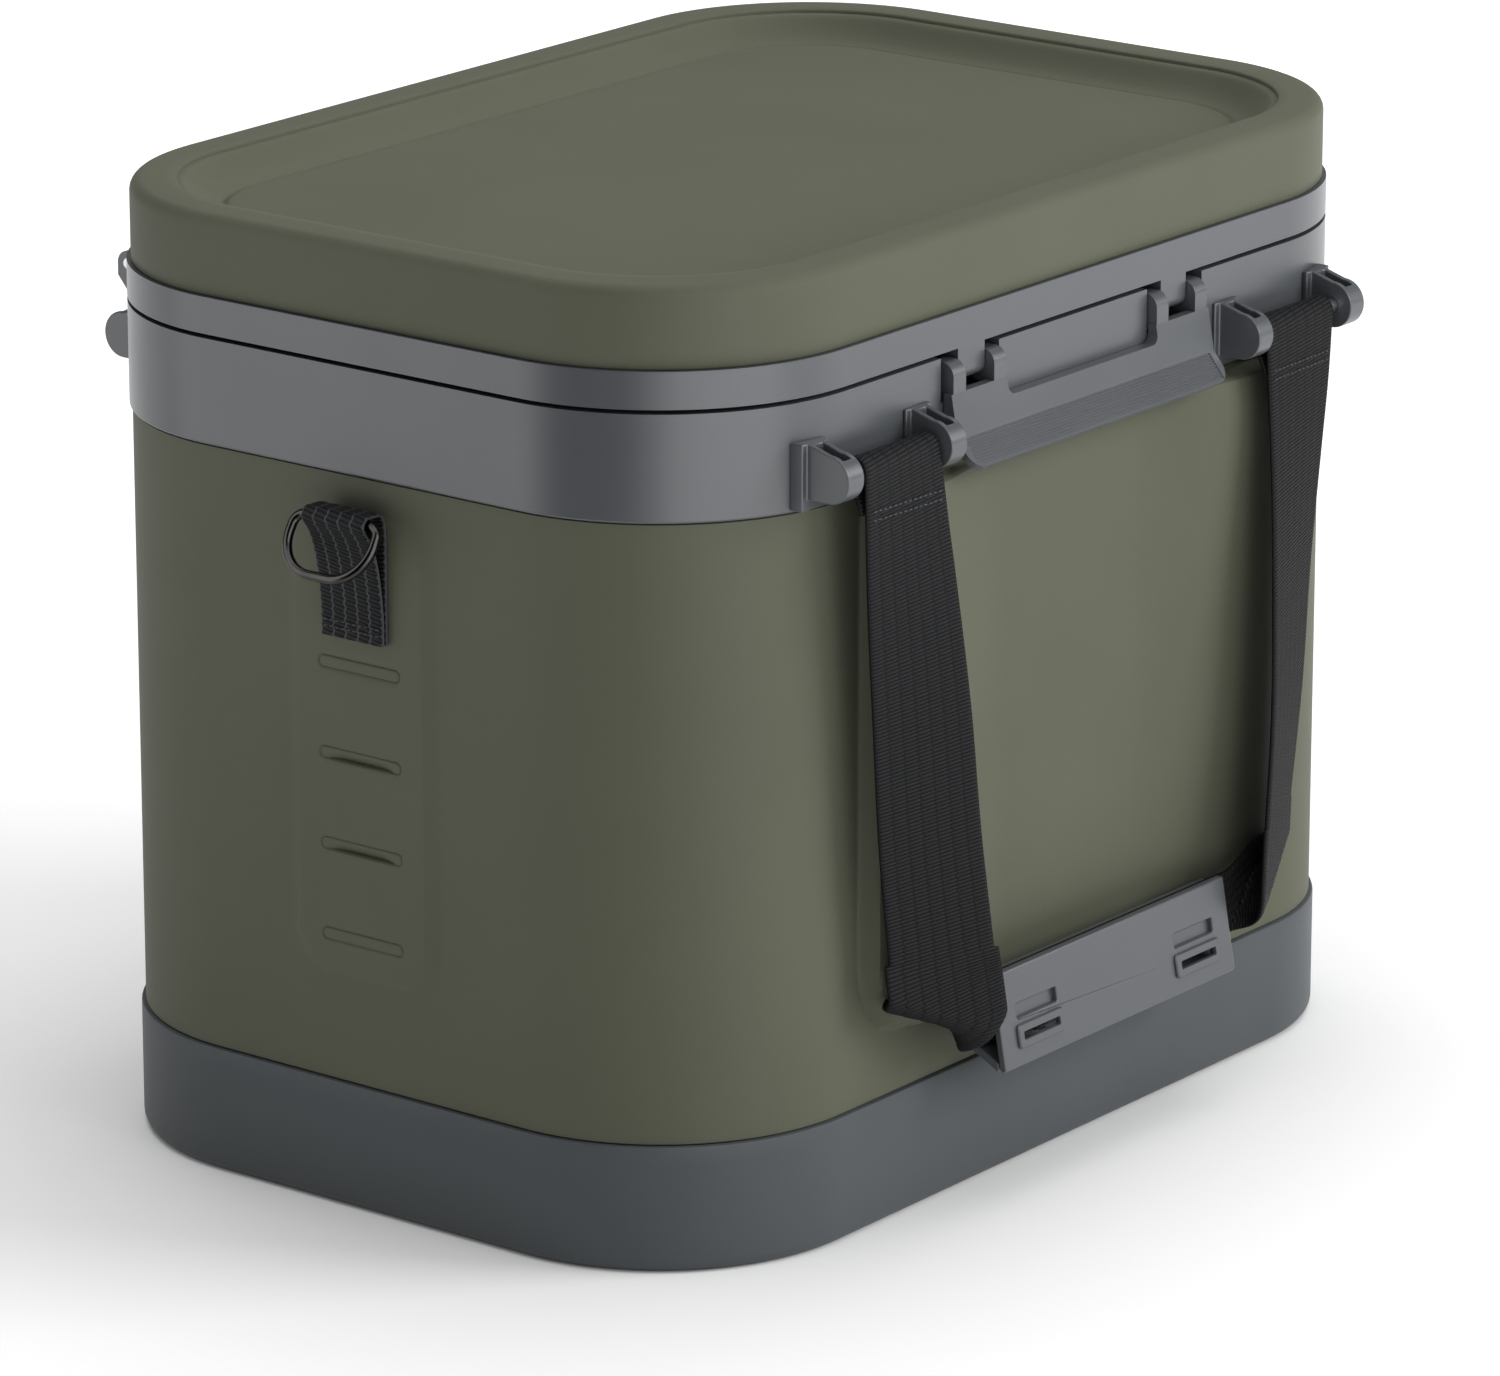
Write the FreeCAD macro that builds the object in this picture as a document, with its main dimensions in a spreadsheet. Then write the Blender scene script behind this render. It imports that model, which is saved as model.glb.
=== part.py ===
"""Soft cooler chest: coated-fabric body and lid on moulded frames, one latch, two carry handles.

Millimetres. +X runs along the long front, the latch and front handle face -Y, +Z is up and
the origin is the centre of the flat bottom. Every size lives in the spreadsheet "Sizes".
"""
import FreeCAD, Part
import Sketcher
import math
import os
import re

SIZES = {
    # overall
    "length": 385, "depth": 270, "height": 318, "corner_radius": 71.6,
    # base boot
    "boot_height": 42, "boot_proud": 0.4, "boot_wall_inset": 3.2, "boot_floor": 3, "boot_round": 4,
    "board_thickness": 3,
    # body shell
    "shell_inset": 1, "shell_inner_inset": 5, "shell_tuck_inset": 3.6,
    # body frame
    "lid_rise": 39.6, "frame_height": 34.6, "frame_web": 16.4, "mouth_inset": 22,
    "frame_lower_round": 0.8,
    # liner and what clamps it
    "liner_wall": 1.5, "floor_foam": 18, "liner_flange": 10, "clamp_height": 3.5,
    "screw_radius": 1.75, "screw_head_radius": 3.4, "screw_head_height": 2, "screw_bite": 7,
    # lid
    "lid_gap": 1.4, "lid_frame_height": 12, "lid_inset": 1.4, "lid_edge_round": 3.5,
    "lid_core_inset": 44, "lid_skin_inset": 5, "lid_skin_top": 3, "tray_inset": 19,
    "tray_depth": 9.5, "plug_inset": 30, "plug_depth": 11.8, "plug_floor": 2,
    "gasket_inset": 8, "gasket_width": 5, "gasket_height": 4.6, "gasket_clear": 0.3,
    # latch
    "latch_width": 140, "latch_axis_in": 3.5, "latch_axis_drop": 6.2, "latch_pin_radius": 1.5,
    "pin_clear": 0.05, "tab_centre": 55, "tab_width": 14, "ear_gap": 0.5, "ear_width": 6.5,
    "ear_front": 3.5, "ear_back": 8.1, "ear_round": 4.6, "pocket_width": 142, "pocket_depth": 9.5,
    "pocket_drop": 14.4, "boss_width": 79.6, "window_gap": 0.9, "window_round": 3,
    "bar_top_drop": 17.4, "plate_top_drop": 11.4, "latch_clear": 0.4, "flange_top_drop": 25.4,
    "flange_reach": 13, "flange_tip_drop": 33.9,
    "flange_round": 6, "groove_pitch": 0.98, "groove_radius": 0.36, "groove_count": 10, "groove_end": 3,
    # strap brackets
    "strap_end_gap": 82, "bracket_width": 8, "bracket_strap_play": 7, "bracket_pin_out": 9.5,
    "bracket_pin_drop": 22.4, "bracket_nose": 7.7, "bracket_slot": 4, "bracket_slot_floor": 1.2,
    "bracket_foot": 1.2, "bracket_foot_side": 2.5, "bracket_root": 6, "bracket_top": 2.5,
    "strap_pin_radius": 2.5, "strap_pin_bite": 6,
    # handles
    "strap_width": 38, "strap_thickness": 1.8, "strap_loop_clear": 0.3,
    "fold_inset": 10.5, "band_low": 53, "band_high": 75.3, "band_offset": 12,
    "grip_side": 27.4, "grip_wall": 2.6, "flap_axis_out": 21.4, "flap_axis_height": 46.6,
    "flap_top_out": 16, "flap_top_height": 77, "grip_back_out": 8.5, "grip_back_top": 74.8,
    "snap_window_width": 22, "snap_window_height": 13, "snap_window_in": 20.3,
    "snap_window_drop": 18, "snap_tongue_height": 3.5,
    # raised pad on the long faces
    "pad_base_width": 224, "pad_crest_width": 200, "pad_rise": 9.5, "pad_low": 62, "pad_gap": 0.3,
    "pad_slope": 14, "pad_top_slope": 3, "pad_corner": 28, "pad_top_corner": 8,
    "dish_width": 184, "dish_floor_width": 72, "dish_depth": 8,
    # end panels
    "panel_width": 60, "panel_low": 77, "panel_high_drop": 46.4, "panel_rise": 2.2, "panel_corner": 15,
    "panel_edge_round": 1.5, "slot_length": 33, "slot_height": 4, "slot_count": 4,
    "slot_low": 91.7, "slot_below_tab": 9.8, "slot_depth": 1.8,
    # rings and their webbing
    "tab_webbing_width": 25, "tab_webbing": 1.6, "tab_low_drop": 86.6,
    "tab_high_drop": 42.2,
    "tab_foot": 3.4, "tab_reach": 12.4, "ring_wire": 1.6, "ring_bar_out": 9.8, "ring_bar_drop": 46.2,
    "ring_half_bar": 12.9, "ring_corner": 4, "ring_side": 2.2, "ring_bow": 12.9, "ring_tilt": 33,
    # rear hinges
    "hinge_axis_out": 4.6, "hinge_axis_up": 2.6, "knuckle_radius": 4.2, "hinge_pin_radius": 1.75,
    "hinge_end_gap": 49.5, "hinge_width": 43, "knuckle_width": 12, "knuckle_gap": 0.4,
    "knuckle_root": 8,
}

# positions that follow an overall size or another piece, each built from the sizes above
FOLLOWS = {
    "fold_out": "(strap_centre - fold_inset)",
    "snap_window_centre": "(grip_length / 2 - snap_window_in)",
    "grip_length": "(2 * (strap_centre - strap_width / 2 - grip_side))",
    "bracket_outer": "(strap_centre + bracket_gap / 2 + bracket_width)",
    "strap_centre": "(length / 2 - strap_end_gap)",
    "bracket_gap": "(strap_width + bracket_strap_play)",
    "hinge_inner": "(hinge_outer - hinge_width)",
    "hinge_outer": "(length / 2 - hinge_end_gap)",
    "slot_pitch": "((tab_low - slot_below_tab - slot_low) / (slot_count - 1))",
    "tab_low": "(frame_top - tab_low_drop)",
    "tab_high": "(frame_top - tab_high_drop)",
    "ring_bar_height": "(frame_top - ring_bar_drop)",
    "panel_high": "(frame_top - panel_high_drop)",
    "pad_high": "(frame_top - frame_height - pad_gap)",
    "bracket_pin_height": "(frame_top - bracket_pin_drop)",
    "bar_top": "(frame_top - bar_top_drop)",
    "plate_top": "(frame_top - plate_top_drop)",
    "flange_top": "(frame_top - flange_top_drop)",
    "flange_tip": "(frame_top - flange_tip_drop)",
    "frame_top": "(height - lid_rise)",
}

WORDS = re.compile(r"\b(" + "|".join(sorted(SIZES, key=len, reverse=True)) + r")\b")

doc = FreeCAD.newDocument("CoolerChest")
sheet = doc.addObject("Spreadsheet::Sheet", "Sizes")
for row, (alias, number) in enumerate(SIZES.items(), start=1):
    sheet.set(f"A{row}", alias)
    sheet.set(f"B{row}", str(number))
    sheet.setAlias(f"B{row}", alias)
doc.recompute()


def bound(text):
    """Write an expression over size names as one that reads the spreadsheet."""
    text = str(text)
    for name, formula in FOLLOWS.items():
        text = re.sub(rf"\b{name}\b", formula, text)
    return WORDS.sub(r"Sizes.\1", text)


def value(text):
    """Number that an expression over size names comes to."""
    return float(sheet.evalExpression(bound(text)))


# ---------------------------------------------------------------- sketch and feature helpers

def new_body(label):
    """Start a sub-part."""
    body = doc.addObject("PartDesign::Body", label)
    body.Label = label
    return body


def new_sketch(body, role, offset):
    """Sketch on one of the body's origin planes, moved along that plane's normal by offset."""
    sketch = body.newObject("Sketcher::SketchObject", body.Name + "_sketch")
    planes = [feature for feature in body.Origin.OriginFeatures if feature.Role == role]
    sketch.AttachmentSupport = [(planes[0], "")]
    sketch.MapMode = "FlatFace"
    sketch.setExpression(".AttachmentOffset.Base.z", bound(offset))
    return sketch


def hold(sketch, kind, geometry, vertex, text):
    """Tie a sketch point's distance from the origin to an expression."""
    number = value(text)
    index = sketch.addConstraint(Sketcher.Constraint(kind, -1, 1, geometry, vertex, number))
    sketch.setExpression(f"Constraints[{index}]", bound(text))


def hold_radius(sketch, geometry, text):
    """Tie an arc's or circle's radius to an expression."""
    index = sketch.addConstraint(Sketcher.Constraint("Radius", geometry, value(text)))
    sketch.setExpression(f"Constraints[{index}]", bound(text))


def draw_circle(sketch, centre_x, centre_y, radius):
    """Circle with its centre and radius tied to expressions."""
    centre = FreeCAD.Vector(value(centre_x), value(centre_y), 0)
    circle = sketch.addGeometry(Part.Circle(centre, FreeCAD.Vector(0, 0, 1), value(radius)))
    hold(sketch, "DistanceX", circle, 3, centre_x)
    hold(sketch, "DistanceY", circle, 3, centre_y)
    hold_radius(sketch, circle, radius)


def arc_between(start, end, radius):
    """Minor arc from start to end; a positive radius bulges to the right of the way there."""
    chord = end - start
    rise = abs(radius) - math.sqrt(max(radius * radius - chord.Length ** 2 / 4, 0))
    side = FreeCAD.Vector(chord.y, -chord.x, 0).normalize() * math.copysign(rise, radius)
    middle = (start + end) * 0.5 + side
    if radius > 0:
        return Part.Arc(start, middle, end)
    return Part.Arc(end, middle, start)


def draw_outline(sketch, corners):
    """Closed outline through corners (x, y) or (x, y, radius of the arc that arrives there)."""
    points = [FreeCAD.Vector(value(corner[0]), value(corner[1]), 0) for corner in corners]
    pieces = []
    for index, corner in enumerate(corners):
        start = points[index - 1]
        if len(corner) == 3:
            piece = sketch.addGeometry(arc_between(start, points[index], value(corner[2])))
        else:
            piece = sketch.addGeometry(Part.LineSegment(start, points[index]))
        pieces.append(piece)
    for index, corner in enumerate(corners):
        drawn = sketch.Geometry[pieces[index]]
        forward = (drawn.EndPoint - points[index]).Length < (drawn.StartPoint - points[index]).Length
        last = 2 if forward else 1
        following = pieces[(index + 1) % len(pieces)]
        next_drawn = sketch.Geometry[following]
        starts_here = (next_drawn.StartPoint - points[index]).Length
        ends_here = (next_drawn.EndPoint - points[index]).Length
        first = 1 if starts_here < ends_here else 2
        sketch.addConstraint(Sketcher.Constraint("Coincident", pieces[index], last, following, first))
        hold(sketch, "DistanceX", pieces[index], last, corner[0])
        hold(sketch, "DistanceY", pieces[index], last, corner[1])
        if len(corner) == 3:
            hold_radius(sketch, pieces[index], f"abs({corner[2]})")


def draw_rounded(sketch, left, right, low, high, radius):
    """Rectangle with four equal round corners."""
    x0, x1, y0, y1, r = (value(text) for text in (left, right, low, high, radius))
    corner_points = [(x0 + r, y0), (x1 - r, y0), (x1, y0 + r), (x1, y1 - r),
                     (x1 - r, y1), (x0 + r, y1), (x0, y1 - r), (x0, y0 + r)]
    centres = [(x1 - r, y0 + r), (x1 - r, y1 - r), (x0 + r, y1 - r), (x0 + r, y0 + r)]
    lines = []
    arcs = []
    for side in range(4):
        start = FreeCAD.Vector(*corner_points[2 * side], 0)
        end = FreeCAD.Vector(*corner_points[2 * side + 1], 0)
        lines.append(sketch.addGeometry(Part.LineSegment(start, end)))
        turn = math.radians(-90 + 90 * side)
        circle = Part.Circle(FreeCAD.Vector(*centres[side], 0), FreeCAD.Vector(0, 0, 1), r)
        arcs.append(sketch.addGeometry(Part.ArcOfCircle(circle, turn, turn + math.pi / 2)))
    for side in range(4):
        following = lines[(side + 1) % 4]
        sketch.addConstraint(Sketcher.Constraint("Tangent", lines[side], 2, arcs[side], 1))
        sketch.addConstraint(Sketcher.Constraint("Tangent", arcs[side], 2, following, 1))
        if side:
            sketch.addConstraint(Sketcher.Constraint("Equal", arcs[0], arcs[side]))
        sketch.addConstraint(Sketcher.Constraint("Vertical" if side % 2 else "Horizontal", lines[side]))
    hold_radius(sketch, arcs[0], radius)
    hold(sketch, "DistanceY", lines[0], 1, low)
    hold(sketch, "DistanceX", lines[1], 1, right)
    hold(sketch, "DistanceY", lines[2], 1, high)
    hold(sketch, "DistanceX", lines[3], 1, left)


def draw_footprint(sketch, inset):
    """The chest's plan outline, moved inwards by inset."""
    draw_rounded(sketch, f"-(length / 2 - ({inset}))", f"length / 2 - ({inset})",
                 f"-(depth / 2 - ({inset}))", f"depth / 2 - ({inset})", f"corner_radius - ({inset})")


def extrude(sketch, kind, length, reverse=False, symmetric=False):
    """Pad or Pocket a sketch by a length."""
    body = sketch.getParentGeoFeatureGroup()
    feature = body.newObject("PartDesign::" + kind, f"{body.Name}_{kind.lower()}")
    feature.Profile = sketch
    feature.setExpression("Length", bound(length))
    feature.Reversed = reverse
    if symmetric:
        feature.SideType = "Symmetric"
    return feature


def pad_footprint(body, inset, low, high):
    """Prism of the plan outline between two heights."""
    sketch = new_sketch(body, "XY_Plane", low)
    draw_footprint(sketch, inset)
    return extrude(sketch, "Pad", f"({high}) - ({low})")


def cut_footprint(body, inset, low, high):
    """Hollow of the plan outline between two heights."""
    sketch = new_sketch(body, "XY_Plane", low)
    draw_footprint(sketch, inset)
    return extrude(sketch, "Pocket", f"({high}) - ({low})", reverse=True)


def round_edges(body, radius, chosen):
    """Fillet the edges of the body's tip that a test picks."""
    doc.recompute()
    base = body.Tip
    names = [f"Edge{index}" for index, edge in enumerate(base.Shape.Edges, start=1) if chosen(edge)]
    feature = body.newObject("PartDesign::Fillet", body.Name + "_round")
    feature.Base = (base, names)
    feature.setExpression("Radius", bound(radius))
    return feature


def lies_at(axis, text):
    """Test for an edge that lies wholly at one coordinate along an axis."""
    place = value(text)
    return lambda edge: all(abs(getattr(v.Point, axis) - place) < 0.01 for v in edge.Vertexes)


def screw_places(inset, across, along):
    """Plan positions of a ring of screws that follows the walls at an inset."""
    places = []
    for side in (-1, 1):
        for step in range(across):
            share = (step - (across - 1) / 2) / across
            places.append((f"{share:.4f} * length * 0.8", f"{side} * (depth / 2 - ({inset}))"))
        for step in range(along):
            share = (step - (along - 1) / 2) / along
            places.append((f"{side} * (length / 2 - ({inset}))", f"{share:.4f} * depth * 0.7"))
    return places


def draw_screws(sketch, places, radius):
    """One circle for each screw."""
    for place in places:
        draw_circle(sketch, place[0], place[1], radius)


# ---------------------------------------------------------------- heights that pieces share

FRAME_LOW = "frame_top - frame_height"
WEB_LOW = "frame_top - frame_web"
LID_LOW = "frame_top + lid_gap"
LID_SEAM = "frame_top + lid_gap + lid_frame_height"
PLUG_LOW = "frame_top + lid_gap - plug_depth"
CLAMP_LOW = "frame_top - frame_web - liner_wall - clamp_height"
FOAM_TOP = "frame_top - frame_web - liner_wall - clamp_height - screw_head_height - 0.2"
FOAM_LOW = "boot_floor + board_thickness"
LINER_LOW = "boot_floor + board_thickness + floor_foam"
LATCH_AXIS = "frame_top - latch_axis_drop"
HINGE_AXIS = "frame_top + hinge_axis_up"
FRONT = "-(depth / 2)"
CLAMP_SCREWS = screw_places("mouth_inset - liner_flange / 2", 5, 3)
LID_SCREWS = screw_places("(plug_inset + lid_core_inset) / 2", 5, 3)


# ---------------------------------------------------------------- body of the chest

def make_boot():
    """Moulded boot: a shallow tray whose flat bottom is the sole."""
    body = new_body("base_boot")
    pad_footprint(body, "-boot_proud", "0", "boot_height")
    cut_footprint(body, "boot_wall_inset", "boot_floor", "boot_height")
    round_edges(body, "boot_round", lies_at("z", "0"))


def make_board():
    """Stiff board that lies on the boot's floor inside the shell."""
    body = new_body("bottom_board")
    pad_footprint(body, "shell_inner_inset", "boot_floor", FOAM_LOW)


def make_shell():
    """Coated-fabric shell: a tube, stepped in under the boot and under the frame's skirt."""
    body = new_body("outer_shell")
    pad_footprint(body, "boot_wall_inset", "boot_floor", "boot_height")
    pad_footprint(body, "shell_inset", "boot_height", FRAME_LOW)
    pad_footprint(body, "shell_tuck_inset", FRAME_LOW, WEB_LOW)
    cut_footprint(body, "shell_inner_inset", "boot_floor", WEB_LOW)


def make_foam():
    """Insulation of the floor and walls, one moulded tub."""
    body = new_body("wall_insulation")
    pad_footprint(body, "shell_inner_inset", FOAM_LOW, FOAM_TOP)
    cut_footprint(body, "mouth_inset", LINER_LOW, FOAM_TOP)


def make_liner():
    """Waterproof liner: a thin tub with a flange that the clamp ring holds to the frame."""
    body = new_body("inner_liner")
    pad_footprint(body, "mouth_inset", LINER_LOW, WEB_LOW)
    pad_footprint(body, "mouth_inset - liner_flange", f"{WEB_LOW} - liner_wall", WEB_LOW)
    cut_footprint(body, "mouth_inset + liner_wall", f"{LINER_LOW} + liner_wall", WEB_LOW)
    sketch = new_sketch(body, "XY_Plane", WEB_LOW)
    draw_screws(sketch, CLAMP_SCREWS, "screw_radius")
    extrude(sketch, "Pocket", "liner_wall")


def make_clamp():
    """Ring under the liner's flange, with a hole for each screw."""
    body = new_body("liner_clamp_ring")
    pad_footprint(body, "mouth_inset - liner_flange", CLAMP_LOW, f"{WEB_LOW} - liner_wall")
    cut_footprint(body, "mouth_inset", CLAMP_LOW, f"{WEB_LOW} - liner_wall")
    holes = new_sketch(body, "XY_Plane", CLAMP_LOW)
    draw_screws(holes, CLAMP_SCREWS, "screw_radius")
    extrude(holes, "Pocket", "clamp_height", reverse=True)


def make_screws(label, places, seat, reach):
    """Upward screws: heads below the seat height, shanks that reach above it."""
    body = new_body(label)
    shanks = new_sketch(body, "XY_Plane", seat)
    draw_screws(shanks, places, "screw_radius")
    extrude(shanks, "Pad", reach)
    heads = new_sketch(body, "XY_Plane", seat)
    draw_screws(heads, places, "screw_head_radius")
    extrude(heads, "Pad", "screw_head_height", reverse=True)


def bracket_starts():
    """Low-X face of each of the four bracket ears along one long face."""
    outer = "bracket_outer"
    inner = "bracket_outer - bracket_width - bracket_gap"
    return [f"-{outer}", f"-({inner})", f"{inner} - bracket_width", f"{outer} - bracket_width"]


def make_brackets(label, face):
    """Four strap brackets on the front (face -1) or the rear (face 1): a slotted ear on a foot."""
    body = new_body(label)
    pin = "bracket_pin_height"
    foot_top = f"{pin} + bracket_nose + bracket_top"
    ear_low = f"{pin} - bracket_nose"

    def out(text):
        """Distance out from the chest's long face."""
        return f"{face} * (depth / 2 + ({text}))"

    for start in bracket_starts():
        ear = new_sketch(body, "YZ_Plane", start)
        draw_outline(ear, [
            (out("-bracket_root"), ear_low),
            (out("bracket_pin_out"), ear_low),
            (out("bracket_pin_out + bracket_nose"), pin, f"{face} * bracket_nose"),
            (out("bracket_pin_out"), f"{pin} + bracket_nose", f"{face} * bracket_nose"),
            (out("bracket_foot"), foot_top),
            (out("-bracket_root"), foot_top),
        ])
        extrude(ear, "Pad", "bracket_width")
        foot = new_sketch(body, "YZ_Plane", f"{start} - bracket_foot_side")
        draw_outline(foot, [
            (out("-bracket_root"), f"{FRAME_LOW} + 1"),
            (out("bracket_foot"), f"{FRAME_LOW} + 1"),
            (out("bracket_foot"), foot_top),
            (out("-bracket_root"), foot_top),
        ])
        extrude(foot, "Pad", "bracket_width + 2 * bracket_foot_side")
        slot = new_sketch(body, "YZ_Plane", f"{start} + (bracket_width - bracket_slot) / 2")
        slot_floor = f"{pin} + strap_pin_radius + bracket_slot_floor"
        draw_outline(slot, [
            (out("bracket_foot + bracket_slot_floor"), f"{foot_top} + 1"),
            (out("bracket_foot + bracket_slot_floor"), slot_floor),
            (out("bracket_pin_out + bracket_slot"), slot_floor),
            (out("bracket_pin_out + bracket_slot"), f"{foot_top} + 1"),
        ])
        extrude(slot, "Pocket", "bracket_slot", reverse=True)
    cut_footprint(body, "0", FRAME_LOW, "frame_top")
    for side in (-1, 1):
        hole = new_sketch(body, "YZ_Plane", f"{side} * strap_centre")
        draw_circle(hole, out("bracket_pin_out"), pin, "strap_pin_radius")
        extrude(hole, "Pocket", "bracket_gap + 2 * strap_pin_bite", symmetric=True)


def outside_edge(edge):
    """Whether an edge lies on the chest's outermost plan outline."""
    middle = edge.valueAt((edge.FirstParameter + edge.LastParameter) / 2)
    reach_x = abs(middle.x) - value("length / 2 - corner_radius")
    reach_y = abs(middle.y) - value("depth / 2 - corner_radius")
    if reach_x > 0 and reach_y > 0:
        return math.hypot(reach_x, reach_y) > value("corner_radius") - 0.01
    return max(reach_x, reach_y) > value("corner_radius") - 0.01


def add_body_knuckles(body):
    """Two fixed knuckles for each rear hinge, bored for the pin."""
    starts = ["hinge_inner", "hinge_outer - knuckle_width"]
    for side in (-1, 1):
        for start in starts:
            low = start if side > 0 else f"-({start}) - knuckle_width"
            knuckle = new_sketch(body, "YZ_Plane", low)
            near = "depth / 2 + hinge_axis_out - knuckle_radius"
            far = "depth / 2 + hinge_axis_out + knuckle_radius"
            draw_outline(knuckle, [
                ("depth / 2 - knuckle_root", "frame_top - 12"),
                ("depth / 2", "frame_top - 12"),
                (far, f"{HINGE_AXIS} - knuckle_radius"),
                (far, HINGE_AXIS),
                ("depth / 2 + hinge_axis_out", f"{HINGE_AXIS} + knuckle_radius", "knuckle_radius"),
                (near, HINGE_AXIS, "knuckle_radius"),
                (near, "frame_top - 0.2"),
                ("depth / 2 - knuckle_root", "frame_top - 0.2"),
            ])
            extrude(knuckle, "Pad", "knuckle_width")
        bore = new_sketch(body, "YZ_Plane", f"{side} * (hinge_inner + hinge_outer) / 2")
        draw_circle(bore, "depth / 2 + hinge_axis_out", HINGE_AXIS, "hinge_pin_radius")
        extrude(bore, "Pocket", "hinge_outer - hinge_inner + 2", symmetric=True)


def make_body_frame():
    """Moulded mouth ring: skirt, web, latch pockets beside the boss, and hinge knuckles."""
    body = new_body("body_frame")
    pad_footprint(body, "0", FRAME_LOW, "frame_top")
    cut_footprint(body, "mouth_inset", WEB_LOW, "frame_top")
    cut_footprint(body, "shell_tuck_inset", FRAME_LOW, WEB_LOW)
    round_edges(body, "frame_lower_round", lambda edge: lies_at("z", FRAME_LOW)(edge)
                and edge.BoundBox.YMax > value("depth / 2 - corner_radius - 1")
                and outside_edge(edge))
    for side in (-1, 1):
        pocket = new_sketch(body, "XY_Plane", "frame_top")
        inner = f"{side} * (boss_width / 2 + 0.5)"
        outer = f"{side} * pocket_width / 2"
        draw_outline(pocket, [(inner, f"{FRONT} - 1"), (outer, f"{FRONT} - 1"),
                              (outer, f"{FRONT} + pocket_depth"), (inner, f"{FRONT} + pocket_depth")])
        extrude(pocket, "Pocket", "pocket_drop")
    add_body_knuckles(body)
    holes = new_sketch(body, "XY_Plane", WEB_LOW)
    draw_screws(holes, CLAMP_SCREWS, "screw_radius")
    extrude(holes, "Pocket", "screw_bite", reverse=True)


def make_strap_pins(label, face):
    """Pin between each pair of bracket ears."""
    body = new_body(label)
    for side in (-1, 1):
        sketch = new_sketch(body, "YZ_Plane", f"{side} * strap_centre")
        draw_circle(sketch, f"{face} * (depth / 2 + bracket_pin_out)", "bracket_pin_height",
                    "strap_pin_radius")
        extrude(sketch, "Pad", "bracket_gap + 2 * strap_pin_bite", symmetric=True)


def make_pad(label, face):
    """Raised pad on a long face, dished down its middle."""
    body = new_body(label)
    base = new_sketch(body, "XZ_Plane", f"{-face} * (depth / 2 - shell_inset)")
    draw_pad(base, "pad_base_width / 2", "pad_low", "pad_high", "pad_corner", "pad_top_corner")
    crest = new_sketch(body, "XZ_Plane", f"{-face} * (depth / 2 - shell_inset + pad_rise)")
    draw_pad(crest, "pad_crest_width / 2", "pad_low + pad_slope", "pad_high - pad_top_slope",
             "pad_corner - (pad_base_width - pad_crest_width) / 2", "pad_top_corner / 2")
    loft = body.newObject("PartDesign::AdditiveLoft", label + "_loft")
    loft.Profile = base
    loft.Sections = [crest]
    loft.Ruled = True
    mouth = new_sketch(body, "XZ_Plane", f"{-face} * (depth / 2 - shell_inset + pad_rise)")
    draw_trough(mouth, "dish_width")
    floor = new_sketch(body, "XZ_Plane", f"{-face} * (depth / 2 - shell_inset + pad_rise - dish_depth)")
    draw_trough(floor, "dish_floor_width")
    dish = body.newObject("PartDesign::SubtractiveLoft", label + "_dish")
    dish.Profile = mouth
    dish.Sections = [floor]
    dish.Ruled = True


def draw_pad(sketch, half, low, high, low_radius, high_radius):
    """Pad outline: large round corners below, small ones under the frame."""
    draw_outline(sketch, [
        (f"{half} - ({low_radius})", low),
        (half, f"{low} + {low_radius}", low_radius),
        (half, f"{high} - {high_radius}"),
        (f"{half} - {high_radius}", high, high_radius),
        (f"-({half} - {high_radius})", high),
        (f"-{half}", f"{high} - {high_radius}", high_radius),
        (f"-{half}", f"{low} + {low_radius}"),
        (f"-({half} - ({low_radius}))", low, low_radius),
    ])


def draw_trough(sketch, width):
    """Rectangle that runs past the pad's top and bottom."""
    draw_outline(sketch, [(f"-{width} / 2", "pad_low - 10"), (f"{width} / 2", "pad_low - 10"),
                          (f"{width} / 2", "pad_high + 10"), (f"-{width} / 2", "pad_high + 10")])


def make_end_panel(label, side):
    """Soft raised panel on an end face, with a column of four slots."""
    body = new_body(label)
    outline = new_sketch(body, "YZ_Plane", f"{side} * (length / 2 - shell_inset)")
    draw_rounded(outline, "-panel_width / 2", "panel_width / 2", "panel_low", "panel_high", "panel_corner")
    extrude(outline, "Pad", "panel_rise", reverse=side < 0)
    round_edges(body, "panel_edge_round", lies_at("x", f"{side} * (length / 2 - shell_inset + panel_rise)"))
    slot = new_sketch(body, "YZ_Plane", f"{side} * (length / 2 - shell_inset + panel_rise)")
    draw_rounded(slot, "-slot_length / 2", "slot_length / 2", "slot_low - slot_height / 2",
                 "slot_low + slot_height / 2", "slot_height / 2 - 0.1")
    cut = extrude(slot, "Pocket", "slot_depth", reverse=side < 0)
    column = body.newObject("PartDesign::LinearPattern", label + "_column")
    column.Originals = [cut]
    column.Direction = (slot, ["V_Axis"])
    column.setExpression("Length", bound("(slot_count - 1) * slot_pitch"))
    column.setExpression("Occurrences", bound("slot_count"))
    body.Tip = column


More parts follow.
